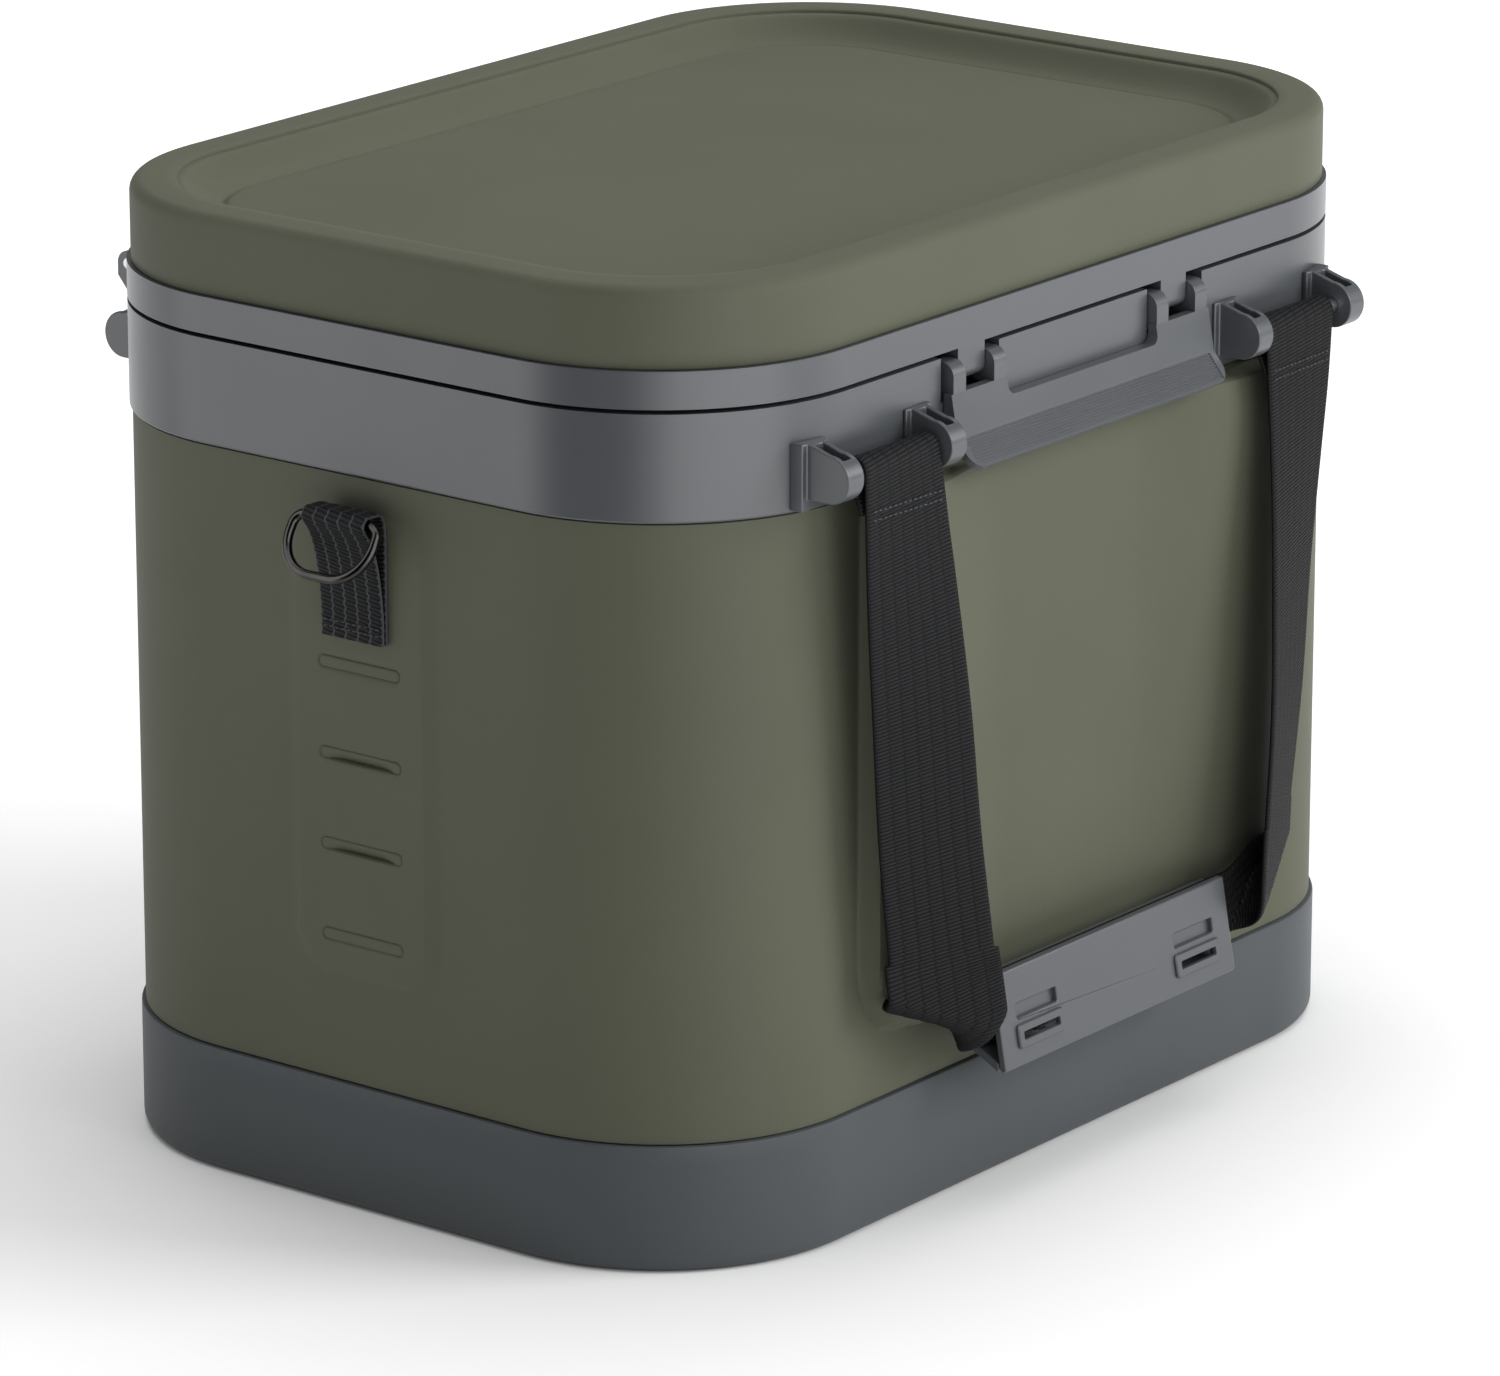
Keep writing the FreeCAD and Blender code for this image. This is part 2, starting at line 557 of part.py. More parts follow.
def make_ring_tab(label, side):
    """Webbing tab on an end panel: flat against the panel, looped outwards round the ring's bar."""
    body = new_body(label)

    def out(text):
        """Distance out from the end panel's face."""
        return f"{side} * (length / 2 - shell_inset + panel_rise + ({text}))"

    outer = [("0", "tab_low"), ("tab_foot", "tab_low"), ("tab_reach", "ring_bar_height - 1.5"),
             ("tab_reach", "ring_bar_height + 2"), ("tab_reach - 2.2", "tab_high + 0.8"),
             ("tab_reach - 5", "tab_high + 0.8"), ("0", "tab_high - 2")]
    inner = [("tab_webbing", "tab_low + 9"), ("tab_foot + 0.3", "tab_low + 9"),
             ("tab_reach - tab_webbing", "ring_bar_height - 1.5"),
             ("tab_reach - tab_webbing", "ring_bar_height + 1.4"),
             ("tab_reach - 3", "tab_high - 0.8"), ("tab_reach - 5", "tab_high - 0.8"),
             ("tab_webbing", "tab_high - 3.4")]
    for points, kind in ((outer, "Pad"), (inner, "Pocket")):
        sketch = new_sketch(body, "XZ_Plane", "0")
        draw_outline(sketch, [(out(point[0]), point[1]) for point in points])
        extrude(sketch, kind, "tab_webbing_width", symmetric=True)


def make_ring(label, side):
    """D-shaped wire ring: straight bar, two small corners and a wide bow that hangs outwards."""
    body = new_body(label)
    bar_x = f"{side} * (length / 2 - shell_inset + panel_rise + ring_bar_out - 1.2)"
    spine = body.newObject("Sketcher::SketchObject", label + "_spine")
    planes = [feature for feature in body.Origin.OriginFeatures if feature.Role == "YZ_Plane"]
    spine.AttachmentSupport = [(planes[0], "")]
    spine.MapMode = "FlatFace"
    turn = FreeCAD.Rotation(FreeCAD.Vector(1, 0, 0), -side * value("ring_tilt"))
    spine.AttachmentOffset = FreeCAD.Placement(FreeCAD.Vector(0, 0, 0), turn)
    spine.setExpression(".AttachmentOffset.Base.y", bound("ring_bar_height"))
    spine.setExpression(".AttachmentOffset.Base.z", bound(bar_x))
    half = "ring_half_bar"
    corner = "ring_corner"
    wide = "ring_half_bar + ring_corner"
    shoulder = "ring_corner + ring_side"
    flat = f"({wide} - ring_bow)"
    deep = f"-({shoulder} + ring_bow)"
    draw_outline(spine, [
        (half, "0"),
        (wide, f"-{corner}", f"-{corner}"),
        (wide, f"-({shoulder})"),
        (flat, deep, "-ring_bow"),
        (f"-{flat}", deep),
        (f"-({wide})", f"-({shoulder})", "-ring_bow"),
        (f"-({wide})", f"-{corner}"),
        (f"-{half}", "0", f"-{corner}"),
    ])
    wire = new_sketch(body, "XZ_Plane", "0")
    draw_circle(wire, bar_x, "ring_bar_height", "ring_wire")
    pipe = body.newObject("PartDesign::AdditivePipe", label + "_wire")
    pipe.Profile = wire
    pipe.Spine = (spine, [])


def make_hinge_pins():
    """One long pin through each rear hinge."""
    body = new_body("hinge_pins")
    for side in (-1, 1):
        sketch = new_sketch(body, "YZ_Plane", f"{side} * (hinge_inner + hinge_outer) / 2")
        draw_circle(sketch, "depth / 2 + hinge_axis_out", HINGE_AXIS, "hinge_pin_radius")
        extrude(sketch, "Pad", "hinge_outer - hinge_inner", symmetric=True)


# ---------------------------------------------------------------- lid

def make_lid_frame():
    """Moulded ring under the lid, with two latch tabs in front and a knuckle for each hinge."""
    body = new_body("lid_frame")
    pad_footprint(body, "0", LID_LOW, LID_SEAM)
    cut_footprint(body, "lid_core_inset", LID_LOW, LID_SEAM)
    groove = new_sketch(body, "XY_Plane", LID_LOW)
    draw_footprint(groove, "gasket_inset")
    draw_footprint(groove, "gasket_inset + gasket_width")
    extrude(groove, "Pocket", "gasket_height - lid_gap + gasket_clear", reverse=True)
    drop = "latch_axis_in"
    for side in (-1, 1):
        tab = new_sketch(body, "YZ_Plane", f"{side} * tab_centre")
        draw_outline(tab, [
            (FRONT, f"{LID_LOW} + 1"),
            (FRONT, LATCH_AXIS),
            (f"{FRONT} + {drop}", f"{LATCH_AXIS} - {drop}", drop),
            (f"{FRONT} + 2 * {drop}", LATCH_AXIS, drop),
            (f"{FRONT} + 2 * {drop}", f"{LID_LOW} + 1"),
        ])
        extrude(tab, "Pad", "tab_width", symmetric=True)
        hole = new_sketch(body, "YZ_Plane", f"{side} * tab_centre")
        draw_circle(hole, f"{FRONT} + {drop}", LATCH_AXIS, "latch_pin_radius")
        extrude(hole, "Pocket", "tab_width + 2", symmetric=True)
        knuckle = new_sketch(body, "YZ_Plane", f"{side} * (hinge_inner + hinge_outer) / 2")
        near = "depth / 2 + hinge_axis_out - knuckle_radius"
        far = "depth / 2 + hinge_axis_out + knuckle_radius"
        draw_outline(knuckle, [
            (far, f"{HINGE_AXIS} + 3"),
            ("depth / 2 + 1", f"{LID_SEAM} - 1"),
            ("depth / 2 - knuckle_root", f"{LID_SEAM} - 1"),
            ("depth / 2 - knuckle_root", f"{LID_LOW} + 2"),
            (near, f"{LID_LOW} + 2"),
            (near, HINGE_AXIS),
            ("depth / 2 + hinge_axis_out", f"{HINGE_AXIS} - knuckle_radius", "knuckle_radius"),
            (far, HINGE_AXIS, "knuckle_radius"),
        ])
        extrude(knuckle, "Pad", "hinge_outer - hinge_inner - 2 * (knuckle_width + knuckle_gap)",
                symmetric=True)
        bore = new_sketch(body, "YZ_Plane", f"{side} * (hinge_inner + hinge_outer) / 2")
        draw_circle(bore, "depth / 2 + hinge_axis_out", HINGE_AXIS, "hinge_pin_radius + pin_clear")
        extrude(bore, "Pocket", "hinge_outer - hinge_inner", symmetric=True)
    holes = new_sketch(body, "XY_Plane", LID_LOW)
    draw_screws(holes, LID_SCREWS, "screw_radius")
    extrude(holes, "Pocket", "screw_bite", reverse=True)


def make_lid_shell():
    """Coated-fabric lid with a soft top edge and a recessed tray."""
    body = new_body("lid_shell")
    pad_footprint(body, "lid_inset", LID_SEAM, "height")
    cut_footprint(body, "lid_skin_inset", LID_SEAM, "height - tray_depth - lid_skin_top")
    round_edges(body, "lid_edge_round", lies_at("z", "height"))
    mouth = new_sketch(body, "XY_Plane", "height")
    draw_footprint(mouth, "tray_inset")
    floor = new_sketch(body, "XY_Plane", "height - tray_depth")
    draw_footprint(floor, "tray_inset + tray_depth")
    tray = body.newObject("PartDesign::SubtractiveLoft", "lid_tray")
    tray.Profile = mouth
    tray.Sections = [floor]
    tray.Ruled = True


def make_lid_foam():
    """Insulation of the lid: wide above the frame, narrower where it fills the frame and plug."""
    body = new_body("lid_insulation")
    pad_footprint(body, "lid_core_inset", f"{PLUG_LOW} + plug_floor", LID_SEAM)
    pad_footprint(body, "lid_skin_inset", LID_SEAM, "height - tray_depth - lid_skin_top")


def make_lid_liner():
    """Plug under the lid: a pan whose thick rim is screwed up into the lid frame."""
    body = new_body("lid_liner")
    pad_footprint(body, "plug_inset", PLUG_LOW, LID_LOW)
    cut_footprint(body, "lid_core_inset", f"{PLUG_LOW} + plug_floor", LID_LOW)
    shanks = new_sketch(body, "XY_Plane", PLUG_LOW)
    draw_screws(shanks, LID_SCREWS, "screw_radius")
    extrude(shanks, "Pocket", "plug_depth", reverse=True)
    heads = new_sketch(body, "XY_Plane", PLUG_LOW)
    draw_screws(heads, LID_SCREWS, "screw_head_radius")
    extrude(heads, "Pocket", "screw_head_height", reverse=True)


def make_gasket():
    """Soft seal in the lid frame's groove."""
    body = new_body("lid_gasket")
    low = "frame_top + gasket_clear"
    pad_footprint(body, "gasket_inset", low, f"{low} + gasket_height")
    cut_footprint(body, "gasket_inset + gasket_width", low, f"{low} + gasket_height")


def make_latch_pins():
    """One pin through each latch tab and the lever ears beside it."""
    body = new_body("latch_pins")
    for side in (-1, 1):
        sketch = new_sketch(body, "YZ_Plane", f"{side} * tab_centre")
        draw_circle(sketch, f"{FRONT} + latch_axis_in", LATCH_AXIS, "latch_pin_radius")
        extrude(sketch, "Pad", "tab_width + 2 * (ear_gap + ear_width)", symmetric=True)


def make_latch_lever():
    """Wide lever: four ears on the lid's pins, a bar below the boss and a grooved finger flange."""
    body = new_body("latch_lever")
    plate = new_sketch(body, "YZ_Plane", "0")
    draw_outline(plate, [
        (f"{FRONT} - latch_clear", "plate_top"),
        (f"{FRONT} - ear_front", "plate_top"),
        (f"{FRONT} - ear_front - 2.5", "flange_top"),
        (f"{FRONT} - flange_reach", "flange_tip"),
        (f"{FRONT} - flange_reach + 1.4", "flange_tip - 1.3"),
        (f"{FRONT} - ear_front - 0.1", "flange_top - 2.4"),
        (f"{FRONT} - latch_clear", "flange_top + 3"),
    ])
    extrude(plate, "Pad", "latch_width", symmetric=True)
    window = new_sketch(body, "XZ_Plane", "depth / 2 - 1")
    half = "boss_width / 2 + window_gap"
    draw_rounded(window, f"-({half})", half, "bar_top", "plate_top + 10", "window_round")
    extrude(window, "Pocket", "ear_front + 6", reverse=True)
    for side in (-1, 1):
        for place in (-1, 1):
            middle = f"tab_centre + {place} * (tab_width / 2 + ear_gap + ear_width / 2)"
            ear = new_sketch(body, "YZ_Plane", f"{side} * ({middle})")
            draw_outline(ear, [
                (f"{FRONT} - ear_front", "plate_top - 2"),
                (f"{FRONT} - latch_clear", "plate_top - 2"),
                (f"{FRONT} + ear_back", f"{LATCH_AXIS} - 4"),
                (f"{FRONT} + ear_back", LATCH_AXIS),
                (f"{FRONT} + ear_back - ear_round", f"{LATCH_AXIS} + ear_round", "ear_round"),
                (f"{FRONT} - ear_front + ear_round", f"{LATCH_AXIS} + ear_round"),
                (f"{FRONT} - ear_front", LATCH_AXIS, "ear_round"),
            ])
            extrude(ear, "Pad", "ear_width", symmetric=True)
        bore = new_sketch(body, "YZ_Plane", f"{side} * tab_centre")
        draw_circle(bore, f"{FRONT} + latch_axis_in", LATCH_AXIS, "latch_pin_radius + pin_clear")
        extrude(bore, "Pocket", "tab_width + 2 * (ear_gap + ear_width) + 2", symmetric=True)
    round_edges(body, "flange_round", is_flange_corner)
    add_flange_grooves(body)


def is_flange_corner(edge):
    """Whether an edge is one of the lever's two lower corners."""
    middle = edge.CenterOfMass
    short = edge.Length < 4
    at_end = abs(abs(middle.x) - value("latch_width / 2")) < 0.01
    return short and at_end and middle.z < value("flange_tip")


def add_flange_grooves(body):
    """Fine grooves along the flange, one cut repeated down its slope."""
    groove = new_sketch(body, "YZ_Plane", "0")
    start_y = "-(depth / 2) - ear_front - 2.5 - 0.4"
    start_z = "flange_top - 0.5"
    draw_circle(groove, start_y, start_z, "groove_radius")
    slope = groove.addGeometry(Part.LineSegment(
        FreeCAD.Vector(value(start_y), value(start_z), 0),
        FreeCAD.Vector(value("-(depth / 2) - flange_reach"), value("flange_tip"), 0)), True)
    hold(groove, "DistanceX", slope, 1, start_y)
    hold(groove, "DistanceY", slope, 1, start_z)
    hold(groove, "DistanceX", slope, 2, "-(depth / 2) - flange_reach")
    hold(groove, "DistanceY", slope, 2, "flange_tip")
    cut = extrude(groove, "Pocket", "latch_width - 2 * groove_end", symmetric=True)
    rows = body.newObject("PartDesign::LinearPattern", "flange_grooves")
    rows.Originals = [cut]
    rows.Direction = (groove, ["Axis0"])
    rows.setExpression("Length", bound("(groove_count - 1) * groove_pitch"))
    rows.setExpression("Occurrences", bound("groove_count"))
    body.Tip = rows


# ---------------------------------------------------------------- handles

STRAP_SECTIONS = [
    ("strap_centre - 2", "bracket_pin_out + strap_pin_radius + strap_loop_clear + strap_thickness / 2",
     "bracket_pin_height", 0),
    ("strap_centre - 9", "bracket_pin_out + 7.5",
     "bracket_pin_height - 0.4 * (bracket_pin_height - band_low)", 17),
    ("strap_centre - 16", "bracket_pin_out + 10.5",
     "bracket_pin_height - 0.785 * (bracket_pin_height - band_low)", 24),
    ("strap_centre - 23", "band_offset + 2", "band_low + 4", 20),
]


def make_strap(label, face):
    """Handle webbing: a loop round each pin, a run twisted on its way down and a band across."""
    body = new_body(label)
    for side in (-1, 1):
        loop = new_sketch(body, "YZ_Plane", f"{side} * (strap_centre - 2)")
        centre = f"{face} * (depth / 2 + bracket_pin_out)"
        draw_circle(loop, centre, "bracket_pin_height", "strap_pin_radius + strap_loop_clear")
        draw_circle(loop, centre, "bracket_pin_height",
                    "strap_pin_radius + strap_loop_clear + strap_thickness")
        extrude(loop, "Pad", "strap_width", symmetric=True)
        sections = []
        for across, out, height, twist in STRAP_SECTIONS:
            section = new_sketch(body, "XY_Plane", height)
            turn = FreeCAD.Rotation(FreeCAD.Vector(0, 0, 1), -side * face * twist)
            section.AttachmentOffset = FreeCAD.Placement(FreeCAD.Vector(0, 0, 0), turn)
            section.setExpression(".AttachmentOffset.Base.x", bound(f"{side} * ({across})"))
            section.setExpression(".AttachmentOffset.Base.y", bound(f"{face} * (depth / 2 + ({out}))"))
            draw_outline(section, [("-strap_width / 2", "-strap_thickness / 2"),
                                   ("strap_width / 2", "-strap_thickness / 2"),
                                   ("strap_width / 2", "strap_thickness / 2"),
                                   ("-strap_width / 2", "strap_thickness / 2")])
            sections.append(section)
        run = body.newObject("PartDesign::AdditiveLoft", label + "_run")
        run.Profile = sections[0]
        run.Sections = sections[1:]
        run.Ruled = True
    band = new_sketch(body, "YZ_Plane", "0")
    low = f"{face} * (depth / 2 + band_offset - strap_thickness / 2)"
    high = f"{face} * (depth / 2 + band_offset + strap_thickness / 2)"
    draw_outline(band, [(low, "band_low"), (high, "band_low"), (high, "band_high"), (low, "band_high")])
    extrude(band, "Pad", "2 * fold_out", symmetric=True)


def make_grip_back():
    """Fixed half of the grip: a sloping floor and a back wall that the webbing lies against."""
    body = new_body("grip_back")
    section = new_sketch(body, "YZ_Plane", "0")
    hinge = f"{FRONT} - flap_axis_out"
    back = f"{FRONT} - grip_back_out"
    draw_outline(section, [
        (f"{hinge} + 1.8", "flap_axis_height - 1.6"),
        (back, "flap_axis_height + 4.2"),
        (back, "grip_back_top"),
        (f"{back} - grip_wall", "grip_back_top"),
        (f"{back} - grip_wall", "flap_axis_height + 5.6"),
        (f"{hinge} + 1.8", "flap_axis_height + 1.4"),
    ])
    extrude(section, "Pad", "grip_length", symmetric=True)


def make_grip_front():
    """Folding half of the grip: a flap on a hinge line, with two snap windows."""
    body = new_body("grip_front")
    section = new_sketch(body, "YZ_Plane", "0")
    half = "grip_wall / 2"
    hinge = f"{FRONT} - flap_axis_out"
    top = f"{FRONT} - flap_top_out"
    draw_outline(section, [
        (f"{hinge} - {half}", "flap_axis_height"),
        (hinge, f"flap_axis_height - {half}", half),
        (f"{hinge} + {half}", "flap_axis_height", half),
        (f"{top} + {half}", "flap_top_height"),
        (f"{top} - {half}", "flap_top_height"),
    ])
    extrude(section, "Pad", "grip_length", symmetric=True)
    middle = "flap_top_height - snap_window_drop"
    for side in (-1, 1):
        for low, high in ((f"{middle} + snap_tongue_height / 2", f"{middle} + snap_window_height / 2"),
                          (f"{middle} - snap_window_height / 2", f"{middle} - snap_tongue_height / 2")):
            window = new_sketch(body, "XZ_Plane", "depth / 2")
            draw_outline(window, [
                (f"{side} * snap_window_centre - snap_window_width / 2", low),
                (f"{side} * snap_window_centre + snap_window_width / 2", low),
                (f"{side} * snap_window_centre + snap_window_width / 2", high),
                (f"{side} * snap_window_centre - snap_window_width / 2", high),
            ])
            extrude(window, "Pocket", "flap_axis_out + grip_wall", reverse=True)


# ---------------------------------------------------------------- build and write

make_boot()
make_board()
make_shell()
make_foam()
make_liner()
make_clamp()
make_screws("clamp_screws", CLAMP_SCREWS, CLAMP_LOW, "clamp_height + liner_wall + screw_bite - 0.5")
make_body_frame()
make_brackets("front_brackets", -1)
make_brackets("rear_brackets", 1)
make_strap_pins("front_strap_pins", -1)
make_strap_pins("rear_strap_pins", 1)
make_hinge_pins()
make_pad("front_pad", -1)
make_pad("rear_pad", 1)
for hand, direction in (("left", -1), ("right", 1)):
    make_end_panel(hand + "_slot_panel", direction)
    make_ring_tab(hand + "_ring_tab", direction)
    make_ring(hand + "_d_ring", direction)
make_lid_frame()
make_lid_shell()
make_lid_foam()
make_lid_liner()
make_screws("lid_screws", LID_SCREWS, f"{PLUG_LOW} + screw_head_height",
            "plug_depth - screw_head_height + screw_bite - 0.5")
make_gasket()
make_latch_pins()
make_latch_lever()
make_strap("front_strap", -1)
make_strap("rear_strap", 1)
make_grip_back()
make_grip_front()
doc.recompute()

faults = [item for item in doc.Objects if "Invalid" in item.State or "Error" in item.State]
if faults:
    raise RuntimeError("; ".join(f"{item.Label}: {item.getStatusString()}" for item in faults))

bodies = [item for item in doc.Objects if item.isDerivedFrom("PartDesign::Body")]
for body in bodies:
    if body.Shape.isNull() or not body.Shape.isValid() or body.Shape.Volume < 1:
        raise RuntimeError(f"{body.Label}: no sound solid")

os.makedirs("parts", exist_ok=True)
for body in bodies:
    body.Shape.exportStep(f"parts/{body.Label}.step")
    box = body.Shape.BoundBox
    print(f"{body.Label:20s} solids {len(body.Shape.Solids):2d} volume {body.Shape.Volume:11.1f} "
          f"x {box.XMin:.1f}..{box.XMax:.1f} y {box.YMin:.1f}..{box.YMax:.1f} "
          f"z {box.ZMin:.1f}..{box.ZMax:.1f}")
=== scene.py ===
"""Looks of the soft cooler chest: coated-fabric skins, moulded frames, webbing handles and one latch.

Metres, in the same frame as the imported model: +X along the long front, -Y the front, +Z up.
"""

import logging
import math
from dataclasses import dataclass, field
from enum import Enum
from typing import Callable, ClassVar, Iterable, Sequence

import bmesh
import bpy
import numpy as np
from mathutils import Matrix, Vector
from mathutils.bvhtree import BVHTree


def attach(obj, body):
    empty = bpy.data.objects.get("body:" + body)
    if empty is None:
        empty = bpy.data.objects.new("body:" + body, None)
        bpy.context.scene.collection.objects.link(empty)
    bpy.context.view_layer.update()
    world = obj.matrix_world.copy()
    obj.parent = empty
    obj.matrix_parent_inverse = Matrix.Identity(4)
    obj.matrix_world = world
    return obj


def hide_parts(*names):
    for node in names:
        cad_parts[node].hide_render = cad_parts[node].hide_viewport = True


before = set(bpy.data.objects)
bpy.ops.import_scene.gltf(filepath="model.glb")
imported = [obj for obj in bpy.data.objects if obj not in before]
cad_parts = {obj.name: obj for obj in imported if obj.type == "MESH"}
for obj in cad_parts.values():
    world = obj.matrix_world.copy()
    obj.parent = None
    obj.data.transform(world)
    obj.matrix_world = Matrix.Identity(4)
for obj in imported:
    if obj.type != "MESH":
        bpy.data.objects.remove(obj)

MM = 0.001
Array = np.ndarray
log = logging.getLogger("cooler_chest")


# ---------------------------------------------------------------- colours and nodes

def linear(code: str) -> tuple[float, float, float, float]:
    """Turn an sRGB hex colour into linear RGBA.

    Args:
        code: Six hex digits, with or without a leading #.
    Returns:
        Linear red, green, blue and an alpha of 1.
    """
    parts = [int(code.lstrip("#")[i:i + 2], 16) / 255 for i in (0, 2, 4)]
    red, green, blue = (p / 12.92 if p <= 0.04045 else ((p + 0.055) / 1.055) ** 2.4 for p in parts)
    return (red, green, blue, 1.0)


def add(tree: bpy.types.NodeTree, kind: str, inputs: dict | None = None,
        **settings: object) -> bpy.types.Node:
    """Add a node with its settings and links.

    Args:
        tree: Node tree that gets the node.
        kind: Node type.
        inputs: Values or sockets for the node's inputs, by name or index.
        **settings: Properties of the node.
    Returns:
        The new node.
    """
    node = tree.nodes.new(kind)
    for key, setting in settings.items():
        setattr(node, key, setting)
    for key, given in (inputs or {}).items():
        if isinstance(given, bpy.types.NodeSocket):
            tree.links.new(given, node.inputs[key])
        else:
            node.inputs[key].default_value = given
    return node


def two_tone(tree: bpy.types.NodeTree, factor: bpy.types.NodeSocket, first: tuple[float, Sequence[float]],
             second: tuple[float, Sequence[float]]) -> bpy.types.NodeSocket:
    """Blend from one colour to another.

    Args:
        tree: Tree of the material.
        factor: Socket that chooses between the colours.
        first: Factor at which the first colour ends, and that colour.
        second: Factor at which the second colour begins, and that colour.
    Returns:
        The colour socket.
    """
    ramp = add(tree, "ShaderNodeValToRGB", {"Fac": factor})
    for stop, (position, colour) in zip(ramp.color_ramp.elements, (first, second)):
        stop.position = position
        stop.color = colour
    return ramp.outputs["Color"]


def smooth(value: Array | float, low: float, high: float) -> Array:
    """Smooth step from 0 at low to 1 at high."""
    t = np.clip((np.asarray(value, float) - low) / (high - low), 0, 1)
    return t * t * (3 - 2 * t)


# ---------------------------------------------------------------- finishes

@dataclass(frozen=True)
class Finish:
    """What a surface is made of; each kind of finish builds its own node tree."""

    name: str
    colour: str
    roughness: float = 0.5

    _made: ClassVar[dict[str, bpy.types.Material]] = {}

    def material(self) -> bpy.types.Material:
        """Return the finish's material, made on first use."""
        if self.name not in self._made:
            made = bpy.data.materials.new(self.name)
            made.use_nodes = True
            made.node_tree.nodes.clear()
            shader = add(made.node_tree, "ShaderNodeBsdfPrincipled",
                         {"Base Color": linear(self.colour), "Roughness": self.roughness})
            self.dress(made.node_tree, shader)
            add(made.node_tree, "ShaderNodeOutputMaterial", {"Surface": shader.outputs[0]})
            self._made[self.name] = made
        return self._made[self.name]

    def dress(self, tree: bpy.types.NodeTree, shader: bpy.types.Node) -> None:
        """Add the finish's own nodes to its tree."""
        raise NotImplementedError

    def mottled(self, tree: bpy.types.NodeTree, size: float, spread: float) -> bpy.types.NodeSocket:
        """Vary the finish's colour in soft patches.

        Args:
            tree: Tree of the material.
            size: Patch size in metres.
            spread: Share by which the colour goes darker and lighter.
        Returns:
            The colour socket.
        """
        place = add(tree, "ShaderNodeTexCoord").outputs["Object"]
        noise = add(tree, "ShaderNodeTexNoise", {"Vector": place, "Scale": 1 / size, "Detail": 3.0})
        base = linear(self.colour)
        dark = tuple(c * (1 - spread) for c in base[:3]) + (1.0,)
        light = tuple(c * (1 + spread) for c in base[:3]) + (1.0,)
        return two_tone(tree, noise.outputs["Fac"], (0.3, dark), (0.7, light))

    def grained(self, tree: bpy.types.NodeTree, size: float, depth: float,
                strength: float) -> bpy.types.NodeSocket:
        """Bump of a fine random grain.

        Args:
            tree: Tree of the material.
            size: Grain size in metres.
            depth: Height of the grain in metres.
            strength: Share of the bump that shows.
        Returns:
            The normal socket.
        """
        place = add(tree, "ShaderNodeTexCoord").outputs["Object"]
        noise = add(tree, "ShaderNodeTexNoise", {"Vector": place, "Scale": 1 / size, "Detail": 2.0})
        bump = add(tree, "ShaderNodeBump", {"Height": noise.outputs["Fac"], "Distance": depth,
                                            "Strength": strength})
        return bump.outputs["Normal"]


@dataclass(frozen=True)
class CoatedFabric(Finish):
    """Polyurethane-coated nylon over foam: matte, with a faint grain and a soft sheen at grazing angles."""

    grain: float = 0.9 * MM

    def dress(self, tree: bpy.types.NodeTree, shader: bpy.types.Node) -> None:
        """Soft patches, a leathery grain and a little sheen."""
        tree.links.new(self.mottled(tree, 0.07, 0.035), shader.inputs["Base Color"])
        tree.links.new(self.grained(tree, self.grain, 0.09 * MM, 0.6), shader.inputs["Normal"])
        shader.inputs["Sheen Weight"].default_value = 0.04
        shader.inputs["Sheen Roughness"].default_value = 0.5
        shader.inputs["Specular IOR Level"].default_value = 0.14


@dataclass(frozen=True)
class MouldedPlastic(Finish):
    """Glass-filled nylon, injection moulded against a fine spark-eroded tool: satin, very finely pitted."""

    grain: float = 0.35 * MM

    def dress(self, tree: bpy.types.NodeTree, shader: bpy.types.Node) -> None:
        """Slight flow marks, a fine tool texture and polish that varies a little."""
        tree.links.new(self.mottled(tree, 0.05, 0.03), shader.inputs["Base Color"])
        tree.links.new(self.grained(tree, self.grain, 0.02 * MM, 0.4), shader.inputs["Normal"])
        place = add(tree, "ShaderNodeTexCoord").outputs["Object"]
        noise = add(tree, "ShaderNodeTexNoise", {"Vector": place, "Scale": 35.0, "Detail": 4.0})
        polish = add(tree, "ShaderNodeMapRange", {"Value": noise.outputs["Fac"],
                                                  "To Min": self.roughness - 0.04,
                                                  "To Max": self.roughness + 0.05})
        tree.links.new(polish.outputs["Result"], shader.inputs["Roughness"])


